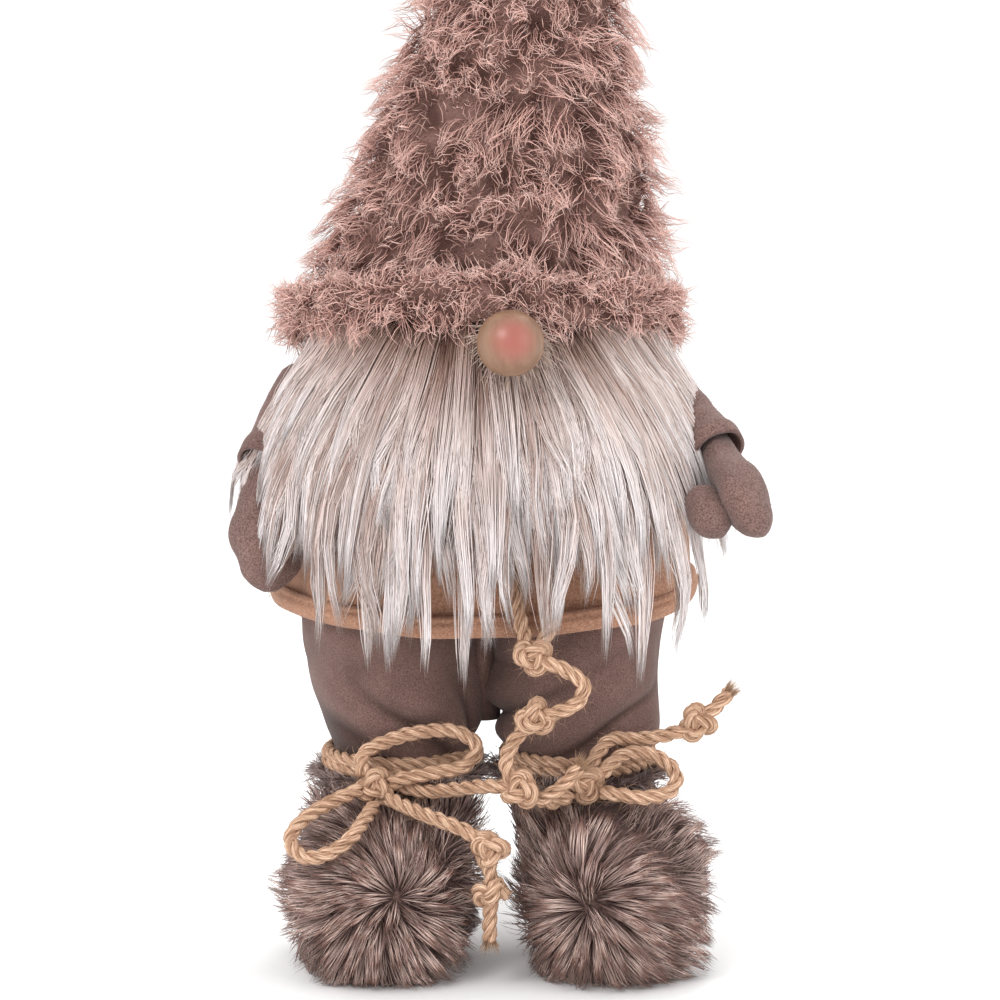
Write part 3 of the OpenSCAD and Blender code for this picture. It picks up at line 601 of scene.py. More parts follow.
def fuzz(name, surface, low, high, count, length, finish, body, seed, radius=0.00006):
    """Short stray fibres all over an oval body between two heights."""
    dice = np.random.default_rng(seed)
    angle, z = dice.uniform(0, 2 * np.pi, count), dice.uniform(low, high, count)
    root, normal, across, upward = stand_on(surface, angle, z)
    lie = unit(dice.normal(size=(count, 1)) * across + dice.normal(size=(count, 1)) * upward)
    start = unit(normal * dice.uniform(0.2, 0.9, (count, 1)) + lie)
    bend = 0.4 * unit(dice.normal(size=(count, 3)))
    paths = arcs(root - 0.0006 * normal, start, bend, length * dice.uniform(0.5, 1.2, count), 4)
    return fibres(name, paths, radius, finish, body, seed=seed)


# %% [markdown]
# ## Rope hairs
#
# Jute is a coarse fibre, and short ends stand out of it everywhere. They lie mostly along the rope and
# a little outward. At the three cut ends the yarns open into a small brush.

# %% Loose hairs on the ropes
jute_hair = fibre_finish("jute_hair", [(0.0, (0.30, 0.17, 0.10)), (1.0, (0.50, 0.32, 0.20))], 0.35)
hairs_per_metre = 2200
hairs_at_an_end = 150
rope_dice = np.random.default_rng(5)
hair_paths = []
for line in [*rope_lines.values(), *wrap_lines.values(), *knot_lines]:
    count = int(hairs_per_metre * length_of(line))
    t, side, up = axes_along(line)
    at = rope_dice.integers(0, len(line), count)
    a = rope_dice.uniform(0, 2 * np.pi, (count, 1))
    out = np.cos(a) * side[at] + np.sin(a) * up[at]
    way = np.where(rope_dice.uniform(size=(count, 1)) < 0.5, 1.0, -1.0)
    outward = out * rope_dice.uniform(0.15, 0.8, (count, 1))
    start = unit(t[at] * way + outward + rope_dice.normal(0, 0.25, (count, 3)))
    bend = rope_dice.normal(0, 0.25, (count, 3)) - [0, 0, 0.1]
    length = rope_dice.uniform(0.003, 0.008, count)
    hair_paths.append(arcs(line[at] + out * 0.0023, start, bend, length, 4))
for name in ("right_tail", "front_rope", "left_tail"):
    t, side, up = (axes[-1] for axes in axes_along(rope_lines[name]))
    a = rope_dice.uniform(0, 2 * np.pi, (hairs_at_an_end, 1))
    r = 0.0026 * np.sqrt(rope_dice.uniform(size=(hairs_at_an_end, 1)))
    out = np.cos(a) * side + np.sin(a) * up
    start = unit(t + out * 0.35 + rope_dice.normal(0, 0.12, (hairs_at_an_end, 3)))
    bend = rope_dice.normal(0, 0.15, (hairs_at_an_end, 3))
    length = rope_dice.uniform(0.004, 0.009, hairs_at_an_end)
    hair_paths.append(arcs(rope_lines[name][-1] + out * r - t * 0.002, start, bend, length, 4))
hair_paths = np.concatenate(hair_paths)
hair_paths[..., 2] = np.maximum(hair_paths[..., 2], 0.001)
fibres("rope_hairs", hair_paths, 0.00009, jute_hair, "figure", seed=5)

# %% [markdown]
# ## Tunic
#
# The tunic is a bell of thick camel felt over stuffing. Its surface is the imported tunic's oval,
# moved in and out a little by soft waves, turned in at the lower edge. The hem is a rolled edge of
# its own, with the line of stitching as a groove.

# %% Tunic
tan_felt = felt_finish("tan_felt", (0.31, 0.152, 0.092), (0.50, 0.28, 0.19), bump=0.8)
tan_fuzz = fibre_finish("tan_fuzz", [(0.0, (0.48, 0.28, 0.19)), (1.0, (0.70, 0.47, 0.35))], 0.25)

tunic_low, tunic_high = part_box("tunic")
hem_low, hem_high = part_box("tunic_hem")
hem_points, _ = node_points("tunic_hem")
front_of_hem = hem_points[hem_points[:, 1] < hem_low.y + 0.004]
back_of_hem = hem_points[hem_points[:, 1] > hem_high.y - 0.004]
hem_tilt = (back_of_hem[:, 2].mean() - front_of_hem[:, 2].mean()) / 2
hem_middle = (hem_low.z + hem_high.z) / 2
hem_height = hem_high.z - hem_low.z - 2 * hem_tilt
tunic_at = oval_body("tunic", tunic_high.z - 0.115, tunic_high.z - 0.0005)


def tunic_surface(angle, z):
    """The tunic's oval, 1.2 mm proud or shy by soft waves 6 cm long."""
    p = tunic_at(angle, z)
    swell = 0.0012 * waves(p, 0.06, 3)
    return tunic_at(angle, z, swell)


around = np.linspace(0, 2 * np.pi, 120, endpoint=False)[None]
rows = np.linspace(0, 1, 60)[:, None]
edge = hem_middle - hem_height / 2 + hem_tilt * np.sin(around)
heights = edge + rows * (tunic_high.z - edge)
outer = tunic_surface(around + 0 * rows, heights)
turn_in = np.stack([tunic_at(around, edge[:1] + lift, -inward)[0] for lift, inward in
                    ((0.022, 0.006), (0.010, 0.004), (0.002, 0.003))])
over = np.stack([tunic_at(around, tunic_high.z + 0 * around, -inward)[0] for inward in (0.012, 0.035)])
points, faces = closed_tube(np.concatenate([turn_in, outer, over]))
tunic = new_piece("tunic_felt", points, faces, tan_felt, "figure")
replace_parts(tunic, "tunic")

# %% [markdown]
# ## Hem
#
# The lower edge is folded up and sewn down, so it reads as a soft roll with a line of stitches. The
# roll's cross-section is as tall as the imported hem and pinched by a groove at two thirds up, and it is
# carried round the oval and joined to itself.

# %% Hem
turn = np.linspace(0, 2 * np.pi, 36, endpoint=False)[:, None]
hem_ring = np.linspace(0, 2 * np.pi, 220, endpoint=False)[None]
half_x, half_y = (hem_high.x - hem_low.x) / 2, (hem_high.y - hem_low.y) / 2
thick = 0.0030
groove = 0.0011 * np.exp(-((np.sin(turn) - 0.45) / 0.16) ** 2) * (np.cos(turn) > 0)
stitches = 0.0003 * np.sin(hem_ring * 150) * np.exp(-((np.sin(turn) - 0.45) / 0.16) ** 2)
out = thick * np.cos(turn) - groove - stitches - thick
lift = hem_height / 2 * np.sin(turn)
middle_x, middle_y = (hem_low.x + hem_high.x) / 2, (hem_low.y + hem_high.y) / 2
wobble = 0.0007 * np.sin(5 * hem_ring + 1) + 0.0005 * np.sin(11 * hem_ring)
grid = np.stack([middle_x + (half_x + out + wobble) * np.cos(hem_ring),
                 middle_y + (half_y + out + wobble) * np.sin(hem_ring),
                 hem_middle + lift + (hem_tilt * np.sin(hem_ring) + wobble)], axis=-1)
grid = grid.transpose(1, 0, 2)[::-1]
rings, ring_size, _ = grid.shape
quads = tube_faces(rings + 1, ring_size, closed_ends=False)[0] % (rings * ring_size)
hem = new_piece("tunic_hem_roll", grid.reshape(-1, 3), [quads], tan_felt, "figure")
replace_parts(hem, "tunic_hem")


def hem_surface(angle, z):
    """The hem's outer face as an upright oval band that follows the hem's tilt."""
    x, y = middle_x + (half_x - 0.0004) * np.cos(angle), middle_y + (half_y - 0.0004) * np.sin(angle)
    return np.stack([x, y, z + hem_tilt * np.sin(angle)], axis=-1)


fuzz("tunic_fuzz", tunic_surface, hem_high.z, tunic_high.z, 1700, 0.0030, tan_fuzz,
     "figure", 21)
fuzz("hem_fuzz", hem_surface, hem_middle - hem_height / 2 + 0.001, hem_middle + hem_height / 2 - 0.001,
     1400, 0.0028, tan_fuzz, "figure", 22)

# %% [markdown]
# ## Trouser legs
#
# Each leg is a stuffed tube of heathered brown felt, tied in at the ankle by the rope, so its folds
# are sharpest there, and weakest at the top, where the leg disappears under the tunic. The folds are
# waves that are long around the leg and short along it.

# %% Trouser legs
brown_felt = felt_finish("brown_felt", (0.095, 0.052, 0.044), (0.250, 0.156, 0.137), grain=1100.0)
# The trousers' felt is a slightly darker, finer copy of the brown felt; the darkening is painted shade for legs
# that sit under the tunic and beard.
trouser_cloth = felt_finish("trouser_cloth", (0.095, 0.052, 0.043), (0.225, 0.137, 0.119), grain=1700.0,
                            folds=True)
brown_fuzz = fibre_finish("brown_fuzz", [(0.0, (0.17, 0.10, 0.085)), (1.0, (0.40, 0.27, 0.24))], 0.3)


def folded(surface, low, high, seed, slant):
    """A surface with folds. Its creases are where a wave, long around the leg and short along it, is
    zero: out = 4 mm strength (|wave| - 0.8). They are strongest near the tied ankle, where short
    pleats, cos(9 angle), also run up from the rope."""
    def at(angle, z, wanted="place"):
        """The cloth's place, or how deep in a crease it lies, which darkens the colour there as painted shade."""
        p = surface(angle, z)
        share = np.clip((z - low) / (high - low), 0, 1)
        strength = 0.18 + 0.82 * np.exp(-((share - 0.26) / 0.26) ** 2)
        leaning = p * [0.40, 0.45, 1.0] + p[..., :1] * [0, 0, slant]
        crease = np.abs(waves(leaning, 0.036, seed)) - 0.8
        if wanted == "depth":
            return np.clip(strength * (-0.25 - crease) * 1.6, 0, 0.8)
        pleat = 0.0014 * np.exp(-(share / 0.15) ** 2) * np.cos(9 * angle + 2 * np.sin(3 * angle + seed))
        fuller = 0.0035 * np.clip(share * 1.6, 0.2, 1) + 0.004 * np.exp(-((share - 0.2) / 0.12) ** 2)
        soft = 0.001 * waves(p, 0.045, seed + 1)
        return surface(angle, z, fuller + 0.0042 * strength * crease + pleat + soft)
    return at


for number, side in enumerate(("left", "right")):
    node = side + "_trouser_leg"
    low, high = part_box(node)
    leg_at = oval_body(node, low.z + 0.0005, high.z - 0.0005)
    leg = folded(leg_at, low.z, high.z, 31 + 5 * number, (0.55, -0.55)[number])
    heights = np.linspace(low.z, high.z, 100)[:, None]
    grid = leg(around + 0 * heights, heights + 0 * around)
    foot = leg_at(around, low.z + 0.006 + 0 * around, -0.006)
    top = leg_at(around, high.z + 0 * around, -0.012)
    points, faces = closed_tube(np.concatenate([foot, grid, top]))
    # How deep each point lies in a crease, kept as a layer that darkens the cloth: painted shade.
    depth = leg(around + 0 * heights, heights + 0 * around, "depth").ravel()
    size = around.size
    layer = np.concatenate([np.zeros(size), depth, np.zeros(size + 2)])
    piece = new_piece(side + "_trouser_felt", points, faces, trouser_cloth, "figure",
                      {"painted_crease_shade": layer})
    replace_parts(piece, node)
    fuzz(side + "_trouser_fuzz", leg, low.z + 0.02, high.z - 0.004, 1000, 0.0022, brown_fuzz,
         "figure", 41 + number)

# %% [markdown]
# ## Trouser seat
#
# Between the legs the cloth is one narrow dark gusset. It's an oval column behind the folds, so that no
# light falls through the gap.

# %% Trouser seat
inner_left, inner_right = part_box("left_trouser_leg")[1].x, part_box("right_trouser_leg")[0].x
heights = np.linspace(0.114, tunic_low.z + 0.012, 30)[:, None]
deep_y = 0.030 * np.sin(np.pi * np.clip((heights - 0.110) / 0.10, 0, 0.5)) ** 0.6
gusset = np.stack([(inner_left + inner_right) / 2 + 0.009 * np.cos(around) + 0 * heights,
                   0.006 + deep_y * np.sin(around), heights + 0 * around], axis=-1)
points, faces = closed_tube(gusset)
new_piece("trouser_gusset", points, faces, trouser_cloth, "figure")

# %% [markdown]
# ## Arms
#
# A sleeve is a short felt tube with a raw open cuff. A mitten is two flat halves sewn together and
# stuffed, so a thin seam stands up along its two edges. Both follow the straight line from joint to
# joint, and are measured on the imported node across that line.

# %% Tools for arms
joint_places = {j["name"]: np.array(j["pos_m"]) for j in frame["joints"]}


def limb(node, start, direction, side, spans, steps=44, passes=6):
    """Middle, half width and half thickness of a node along a line, between two distances."""
    up = np.cross(direction, side)
    levels = np.linspace(*spans, steps)
    rows = ease(outline(node, levels, start, side, up), passes)
    return levels, rows, up


def limb_grid(levels, rows, start, direction, side, up, shape):
    """Rings square to the limb: start + level direction + (cx + rx w(a)) side + (cy + ry h(a)) up,
    where shape(share, angle) gives w and h."""
    share = np.linspace(0, 1, len(levels))[:, None]
    angle = np.linspace(0, 2 * np.pi, 64, endpoint=False)[None]
    wide, high = shape(share, angle)
    a = rows[:, 0:1] + rows[:, 2:3] * wide
    b = rows[:, 1:2] + rows[:, 3:4] * high
    return (start + levels[:, None, None] * direction + a[..., None] * side + b[..., None] * up)


def sewn(share, angle):
    """Two halves sewn edge to edge: wide cos a, thick sin a |sin a|^0.4, which is a lens with a sharp
    rim, and the tip draws in by 22%."""
    tip = 1 - 0.22 * share ** 4
    return np.cos(angle) * tip, np.sin(angle) * np.abs(np.sin(angle)) ** 0.4 * tip


def plain(share, angle):
    """A plain oval: wide cos a, thick sin a."""
    return np.cos(angle) + 0 * share, np.sin(angle) + 0 * share


# %% [markdown]
# ## Sleeves
#
# The sleeve is a tube of the same felt, rounded over the shoulder and open at the cuff. The cuff's
# inside is made by turning the last ring in and back, which is all that shows of it.

# %% Sleeves
shoulder_cap = ((-0.006, 0.35), (-0.004, 0.62), (0.0, 0.85), (0.005, 0.95))


def make_sleeve(side, seed):
    """Rings from the shoulder's cap, (distance, share of the width), to the wrist, crumpled by soft
    waves, then a ring 14% smaller and the same ring 12 mm deep."""
    shoulder, wrist = joint_places[side + "_shoulder"], joint_places[side + "_wrist"]
    direction = unit(wrist - shoulder)
    across = unit(np.array([1.0, 0, 0]) - direction * direction[0])
    reach = float(np.linalg.norm(wrist - shoulder))
    levels, rows, up = limb(side + "_sleeve", shoulder, direction, across, (0.0095, reach + 0.0005))
    levels = np.concatenate([[distance for distance, _ in shoulder_cap], levels])
    rows = np.concatenate([rows[:1] * [1, 1, share, share] for _, share in shoulder_cap] + [rows])
    grid = limb_grid(levels, rows, shoulder, direction, across, up, plain)
    grid = grid + (0.0012 * np.sin(np.linspace(0, 9, len(grid))) ** 3)[:, None, None] * up
    crumple = 0.0005 * waves(grid, 0.02, seed)
    centre = grid.mean(axis=1, keepdims=True)
    grid = grid + unit(grid - centre) * crumple[..., None]
    inner = centre[-1] + (grid[-1] - centre[-1]) * 0.86
    deep = inner - 0.012 * direction
    points, faces = closed_tube(np.concatenate([grid, inner[None], deep[None]]))
    sleeve = new_piece(side + "_sleeve_felt", points, faces, brown_felt, side + "_arm")
    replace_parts(sleeve, side + "_sleeve")
    return sleeve


# %% [markdown]
# ## Mittens and thumbs
#
# A mitten is cut twice from flat felt, sewn round the edge and stuffed, so it's thick in the middle
# and thin at the seam. The two hands turn different sides to the front: the left one's seam lies at
# its two sides, and the right one's seam faces the viewer.

# %% Mittens and thumbs
hand_length = {"left": 1.0, "right": 0.95}
hand_fullness = {"left": 1.0, "right": 1.08}
thumb_fullness = {"left": 1.0, "right": 2.1}
palm_sides = {"left": np.array([1.0, 0.0, 0.0]), "right": np.array([0.0, 1.0, 0.0])}


def make_mitten(side, seed):
    """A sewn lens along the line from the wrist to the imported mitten's tip, dented by soft waves that
    fade at both ends. Returns the piece, the way the fingers point and the way across the palm."""
    wrist = joint_places[side + "_wrist"]
    mitten_points, _ = node_points(side + "_mitten")
    distance = np.linalg.norm(mitten_points - wrist, axis=1)
    tip = mitten_points[distance > distance.max() - 0.0012].mean(axis=0)
    finger = unit(tip - wrist)
    length = float(np.linalg.norm(tip - wrist))
    palm = unit(palm_sides[side] - finger * (palm_sides[side] @ finger))
    levels, rows, up = limb(side + "_mitten", wrist, finger, palm, (0.0065, length - 0.0006), 60, 5)
    levels = levels * hand_length[side]
    rows[:, 2:] *= hand_fullness[side]
    levels = np.concatenate([[-0.010], levels])
    rows = np.concatenate([rows[:1] * [1, 1, 0.9, 0.9], rows])
    grid = limb_grid(levels, rows, wrist, finger, palm, up, sewn)
    centre = grid.mean(axis=1, keepdims=True)
    fading = np.sin(np.pi * np.linspace(0, 1, len(grid)))[:, None]
    dimple = 0.0010 * waves(grid, 0.026, seed) * fading
    points, faces = closed_tube(grid + unit(grid - centre) * dimple[..., None])
    mitten = new_piece(side + "_mitten_felt", points, faces, brown_felt, side + "_hand")
    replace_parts(mitten, side + "_mitten", side + "_mitten_stuffing")
    return mitten, finger, palm


def make_thumb(side, finger, palm):
    """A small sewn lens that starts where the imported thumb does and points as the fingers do."""
    thumb_points, _ = node_points(side + "_thumb")
    run = (thumb_points - joint_places[side + "_wrist"]) @ finger
    foot = thumb_points[run < run.min() + 0.001].mean(axis=0)
    span = run.max() - run.min()
    levels, rows, up = limb(side + "_thumb", foot, finger, palm, (0.0005, span - 0.0005), 30, 4)
    rows[:, 2:] *= thumb_fullness[side]
    points, faces = closed_tube(limb_grid(levels, rows, foot, finger, palm, up, sewn))
    thumb = new_piece(side + "_thumb_felt", points, faces, brown_felt, side + "_hand")
    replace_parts(thumb, side + "_thumb")


def arm_fuzz(piece, body, count, dice):
    """Stray fibres 1 to 2.6 mm long on a piece's own corners, none of which points into it."""
    at, out = corners_and_normals(piece)
    pick = dice.integers(64, len(at) - 200, count)
    start = unit(out[pick] * 0.5 + dice.normal(0, 0.6, (count, 3)))
    start = unit(start + out[pick] * np.maximum(0.15 - (start * out[pick]).sum(axis=1), 0)[:, None])
    jitter = dice.normal(0, 0.0004, (count, 3))
    paths = arcs(at[pick] + jitter - 0.0008 * out[pick], start, dice.normal(0, 0.2, (count, 3)),
                 dice.uniform(0.0010, 0.0026, count), 4)
    fibres(piece.name.replace("felt", "fuzz"), paths, 0.00006, brown_fuzz, body, seed=80)


for number, side in enumerate(("left", "right")):
    sleeve = make_sleeve(side, 50 + number)
    mitten, finger, palm = make_mitten(side, 60 + number)
    make_thumb(side, finger, palm)
    dice = np.random.default_rng(70 + number)
    arm_fuzz(sleeve, side + "_arm", 500, dice)
    arm_fuzz(mitten, side + "_hand", 900, dice)

# %% [markdown]
# ## Fur boots
#
# Each boot is a ball of long-pile fake fur. The pile is combed away from one whorl on the front, so
# it lies outward all round and its dark tips stand off the edge. The skin under it is a closed oval
# body, and the hairs gather in pointed locks.

# %% Boot fur
pile_stops = [(0.0, (0.13, 0.08, 0.070)), (0.30, (0.40, 0.275, 0.245)), (0.62, (0.80, 0.61, 0.54)),
              (0.78, (0.30, 0.16, 0.125)), (1.0, (0.045, 0.018, 0.014))]
boot_pile = fibre_finish("boot_pile", pile_stops, 0.35, streak=(0.15, 0.083, 0.070))
under_pile = fibre_finish("under_pile", [(0.0, (0.10, 0.06, 0.052)), (1.0, (0.42, 0.29, 0.26))], 0.35)
boot_hide = felt_finish("boot_hide", (0.05, 0.03, 0.026), (0.15, 0.09, 0.08), grain=600.0)
hide_depth = 0.0070
whorl_heights = {"left": 0.047, "right": 0.042}
whorl_offsets = {"left": 0.010, "right": -0.012}


def gathered(paths, groups, count, pull, dice):
    """Draws hairs into locks: each hair moves towards its lock's middle line by pull * t, so that a
    lock ends in a point. The middle line is the mean of the lock's hairs."""
    total = np.zeros((count, *paths.shape[1:]))
    np.add.at(total, groups, paths)
    size = np.maximum(np.bincount(groups, minlength=count), 1)[:, None, None]
    line = (total / size)[groups]
    t = np.linspace(0, 1, paths.shape[1])[None, :, None]
    loose = pull * dice.uniform(0.6, 1.1, (len(paths), 1, 1))
    return paths + (line - paths) * np.clip(loose * t, 0, 1)


def nearest(points, centres):
    """For each point, the number of the nearest centre."""
    batches = np.array_split(points, 1 + len(points) // 4000)
    return np.concatenate([((batch[:, None] - centres[None]) ** 2).sum(axis=-1).argmin(axis=1)
                           for batch in batches])


def combed(root, normal, whorl, side, dice):
    """The way the fur is brushed: away from the whorl along the skin, with a swirl, drifting in soft
    waves, standing up more near the whorl itself; then how each hair bends back down."""
    count = len(root)
    away = root - whorl
    apart = np.linalg.norm(away, axis=1, keepdims=True)
    comb = unit(away - normal * (away * normal).sum(axis=1, keepdims=True))
    turn_way = 1 if side == "left" else -1
    swirl = np.cross(normal, comb) * 0.35 * turn_way
    drift = 0.55 * np.stack([waves(root, 0.045, 96 + turn_way + 3 * i) for i in range(3)], axis=-1)
    outward = unit(np.maximum(normal, [-2, -2, -0.25]))
    stand_up = 0.50 + 1.1 * np.exp(-(apart / 0.022) ** 2)
    start = unit(comb + swirl + drift + outward * stand_up + dice.normal(0, 0.12, (count, 3)))
    bend = comb * 0.30 - outward * 0.20 + dice.normal(0, 0.07, (count, 3)) - [0, 0, 0.06]
    return start, bend


# %% [markdown]
# ## Pile and undercoat
#
# Fake fur has two coats: long guard hairs with dark tips, and a short soft coat that keeps the skin
# from showing between them. A hair system could grow both, but spikes with their own numbers along
# them let the dark band sit just where it does on the real fur.

# %% Pile and undercoat
def boot_skin(side):
    """The closed oval body under the fur, and the surface it follows."""
    node = side + "_boot_fur"
    low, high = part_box(node)
    surface = oval_body(node, low.z + 0.0008, high.z - 0.0008, inset=hide_depth, passes=2)
    heights = np.linspace(low.z + 0.0005, high.z - 0.0005, 40)[:, None]
    points, faces = closed_tube(surface(around[:, ::2] + 0 * heights, heights + 0 * around[:, ::2]))
    skin = new_piece(side + "_boot_hide", points, faces, boot_hide, "figure")
    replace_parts(skin, node)
    return surface, low, high


def long_pile(side, surface, low, high, whorl, dice, seed, count=6200, locks=380):
    """Guard hairs all over the skin, a fifth of them round the whorl, drawn into pointed locks."""
    angle = dice.uniform(0, 2 * np.pi, count)
    z = low.z + 0.0015 + (high.z - low.z - 0.003) * dice.beta(1.05, 1.05, count)
    near = count // 5
    angle[:near] = dice.normal(-np.pi / 2 + whorl_offsets[side] / 0.06, 0.42, near)
    z[:near] = np.clip(dice.normal(whorl_heights[side], 0.015, near), low.z + 0.002, high.z - 0.002)
    root, normal, _, _ = stand_on(surface, angle, z)
    start, bend = combed(root, normal, whorl, side, dice)
    paths = arcs(root - 0.001 * normal, start, bend, dice.uniform(0.018, 0.028, count), 5)
    centres = paths[dice.choice(count, locks, replace=False), 2]
    groups = nearest(paths[:, 2], centres)
    paths = gathered(paths, groups, locks, 0.75, dice)
    paths[..., 2] = np.maximum(paths[..., 2], 0.0006 + 0.0006 * dice.uniform(size=(count, 1)))
    shade = dice.uniform(size=locks)[groups]
    thin = 0.00024 * np.linspace(1.0, 0.35, 5)[None] * dice.uniform(0.8, 1.2, (count, 1))
    fibres(side + "_boot_pile", paths, thin, boot_pile, "figure", shade, seed)


def undercoat(side, surface, low, high, whorl, dice, count=2200):
    """Short hairs that stand up more than the pile does."""
    angle, z = dice.uniform(0, 2 * np.pi, count), dice.uniform(low.z + 0.002, high.z - 0.001, count)
    root, normal, _, _ = stand_on(surface, angle, z)
    start, bend = combed(root, normal, whorl, side, dice)
    start = unit(start + 0.5 * normal)
    paths = arcs(root - 0.001 * normal, start, bend, dice.uniform(0.011, 0.017, count), 4)
    paths[..., 2] = np.maximum(paths[..., 2], 0.0006)
    fibres(side + "_boot_undercoat", paths, 0.00032, under_pile, "figure", seed=95)


for index, side in enumerate(("left", "right")):
    surface, low, high = boot_skin(side)
    middle_of_boot = (low.x + high.x) / 2
    whorl = np.array([middle_of_boot + whorl_offsets[side], low.y + hide_depth, whorl_heights[side]])
    dice = np.random.default_rng(90 + index)
    long_pile(side, surface, low, high, whorl, dice, 91 + index)
    undercoat(side, surface, low, high, whorl, dice)

# %% [markdown]
# ## Fur cuffs
#
# The boot's upper edge is a strip of the same fur, seen as a paler ruff behind the rope. It's a ring
# with an oval cross-section, joined to itself, with hair that leans out and up.

# %% Fur cuffs at the top of the boots
cuff_stops = [(0.0, (0.12, 0.08, 0.072)), (0.55, (0.33, 0.25, 0.23)), (1.0, (0.42, 0.33, 0.31))]
cuff_pile = fibre_finish("cuff_pile", cuff_stops, 0.35)
for index, side in enumerate(("left", "right")):
    node = side + "_boot_cuff"
    low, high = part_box(node)
    middle = np.array([(low.x + high.x) / 2, (low.y + high.y) / 2, (low.z + high.z) / 2])
    half_x, half_y, half_z = (high.x - low.x) / 2, (high.y - low.y) / 2, (high.z - low.z) / 2
    turn = np.linspace(0, 2 * np.pi, 16, endpoint=False)[:, None]
    ring = np.linspace(0, 2 * np.pi, 90, endpoint=False)[None]
    out = half_z * 1.3 * (np.cos(turn) - 1) - 0.002
    grid = middle + np.stack([(half_x + out) * np.cos(ring), (half_y + out) * np.sin(ring),
                              half_z * np.sin(turn) + 0 * ring], axis=-1)
    grid = grid.transpose(1, 0, 2)[::-1]
    quads = tube_faces(91, 16, closed_ends=False)[0] % (90 * 16)
    skin = new_piece(side + "_cuff_hide", grid.reshape(-1, 3), [quads], boot_hide, "figure")
    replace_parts(skin, node)
    dice = np.random.default_rng(97 + index)
    count = 1100
    a = dice.uniform(0, 2 * np.pi, count)
    root = middle + np.stack([(half_x - 0.004) * np.cos(a), (half_y - 0.004) * np.sin(a),
                              dice.uniform(-1, 1, count) * half_z], axis=-1)
    out = np.stack([np.cos(a), np.sin(a), np.zeros(count)], axis=-1)
    start = unit(out + [0, 0, 0.45] + dice.normal(0, 0.3, (count, 3)))
    bend = -0.25 * out + [0, 0, -0.2] + dice.normal(0, 0.12, (count, 3))
    paths = arcs(root, start, bend, dice.uniform(0.010, 0.018, count), 5)
    locks = 130
    groups = nearest(paths[:, 3], paths[dice.choice(count, locks, replace=False), 3])
    paths = gathered(paths, groups, locks, 0.6, dice)
    fibres(side + "_cuff_pile", paths, 0.00018, cuff_pile, "figure",
           dice.uniform(size=locks)[groups], 99)

# %% [markdown]
# ## Curly-wool hat
#
# The hat is a tall cone of curly lamb-like wool. What shows is fluffy tufts, each a cloud of crimped
# fibres that leans out and down and ends in a small curl, with dark hollows between them. Under the
# tufts is a lumpy opaque cone in the same colour, which swells under each tuft and carries painted
# shade in its hollows.

# %% Wool finishes
wool_stops = [(0.0, (0.20, 0.10, 0.082)), (0.30, (0.50, 0.285, 0.245)), (0.75, (0.80, 0.52, 0.455)),
              (1.0, (0.95, 0.70, 0.63))]
curly_wool = fibre_finish("curly_wool", wool_stops, 0.28, roughness=0.7, specular=0.15)
wool_ground, wool_shader = new_finish("wool_ground", 0.95, 0.1)
wool_place = add(wool_ground, "TexCoord").outputs["Object"]
wool_grain = noise(wool_ground, wool_place, 700.0, 6.0, 0.75)
# The ground is dark in its hollows and light on its clumps, by the lump layer: painted shade.
hollow = add(wool_ground, "Attribute", attribute_name="lump").outputs["Fac"]
painted_hollow_shade = ramp(wool_ground, hollow, [(0.0, (0.10, 0.047, 0.038)), (0.5, (0.26, 0.14, 0.118)),
                                         (1.0, (0.48, 0.285, 0.245))])
wool_colour = mixed(wool_ground, wool_grain, painted_hollow_shade, (0.22, 0.12, 0.10))
link(wool_ground, wool_colour, wool_shader.inputs["Base Color"])
add_bump(wool_ground, wool_shader, wool_grain, 1.0, 0.0025)
print("wool finishes made")

# %% Hat surface
_, hat_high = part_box("hat_wool")
brim_points, _ = node_points("hat_brim")
brim_low, brim_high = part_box("hat_brim")
front_z = brim_points[brim_points[:, 1] < brim_low.y + 0.003, 2].mean()
back_z = brim_points[brim_points[:, 1] > brim_high.y - 0.003, 2].mean()
brim_tilt = (back_z - front_z) / 2
brim_middle = (front_z + back_z) / 2
brim_height = brim_high.z - brim_low.z - 2 * abs(brim_tilt)
wool_depth = 0.0045
sloping_end = brim_middle + brim_height / 2 + abs(brim_tilt)
hat_at = oval_body("hat_wool", sloping_end, hat_high.z - 0.0012, inset=wool_depth, steps=80)


def hat_surface(angle, share):
    """The hat's cone: share 0 is the sloping lower edge and 1 is the tip."""
    edge = brim_middle + brim_tilt * np.sin(angle)
    return hat_at(angle, edge + share * (hat_high.z - 0.004 - edge))


def hat_stand(angle, share):
    """Point, outward normal, and the directions around and up, on the hat's cone."""
    across = hat_surface(angle + 0.02, share) - hat_surface(angle - 0.02, share)
    upward = hat_surface(angle, share + 0.004) - hat_surface(angle, share - 0.004)
    return hat_surface(angle, share), unit(np.cross(across, upward)), unit(across), unit(upward)


def even_spread(count, seed):
    """Places spread evenly over a cone: turns of the golden angle, with a share of the height that
    makes each band's area equal, (1 - sqrt(1 - q)) for q from 0 to 1, and a little disorder."""
    dice = np.random.default_rng(seed)
    q = (np.arange(count) + 0.5) / count
    angle = np.arange(count) * np.pi * (3 - math.sqrt(5)) + dice.normal(0, 0.12, count)
    share = np.clip(1 - (1 - q) ** 0.62 + dice.normal(0, 0.028, count), 0.01, 0.985)
    return angle, share


# %% [markdown]
# ## Where the wool locks stand
#
# Lamb's wool grows in separate locks, about a centimetre apart. On the cone they're spread by the
# golden angle, which leaves no rows and no gaps. The rolled lower edge has locks of its own, which
# stand further out in front and a little closer together at the back.

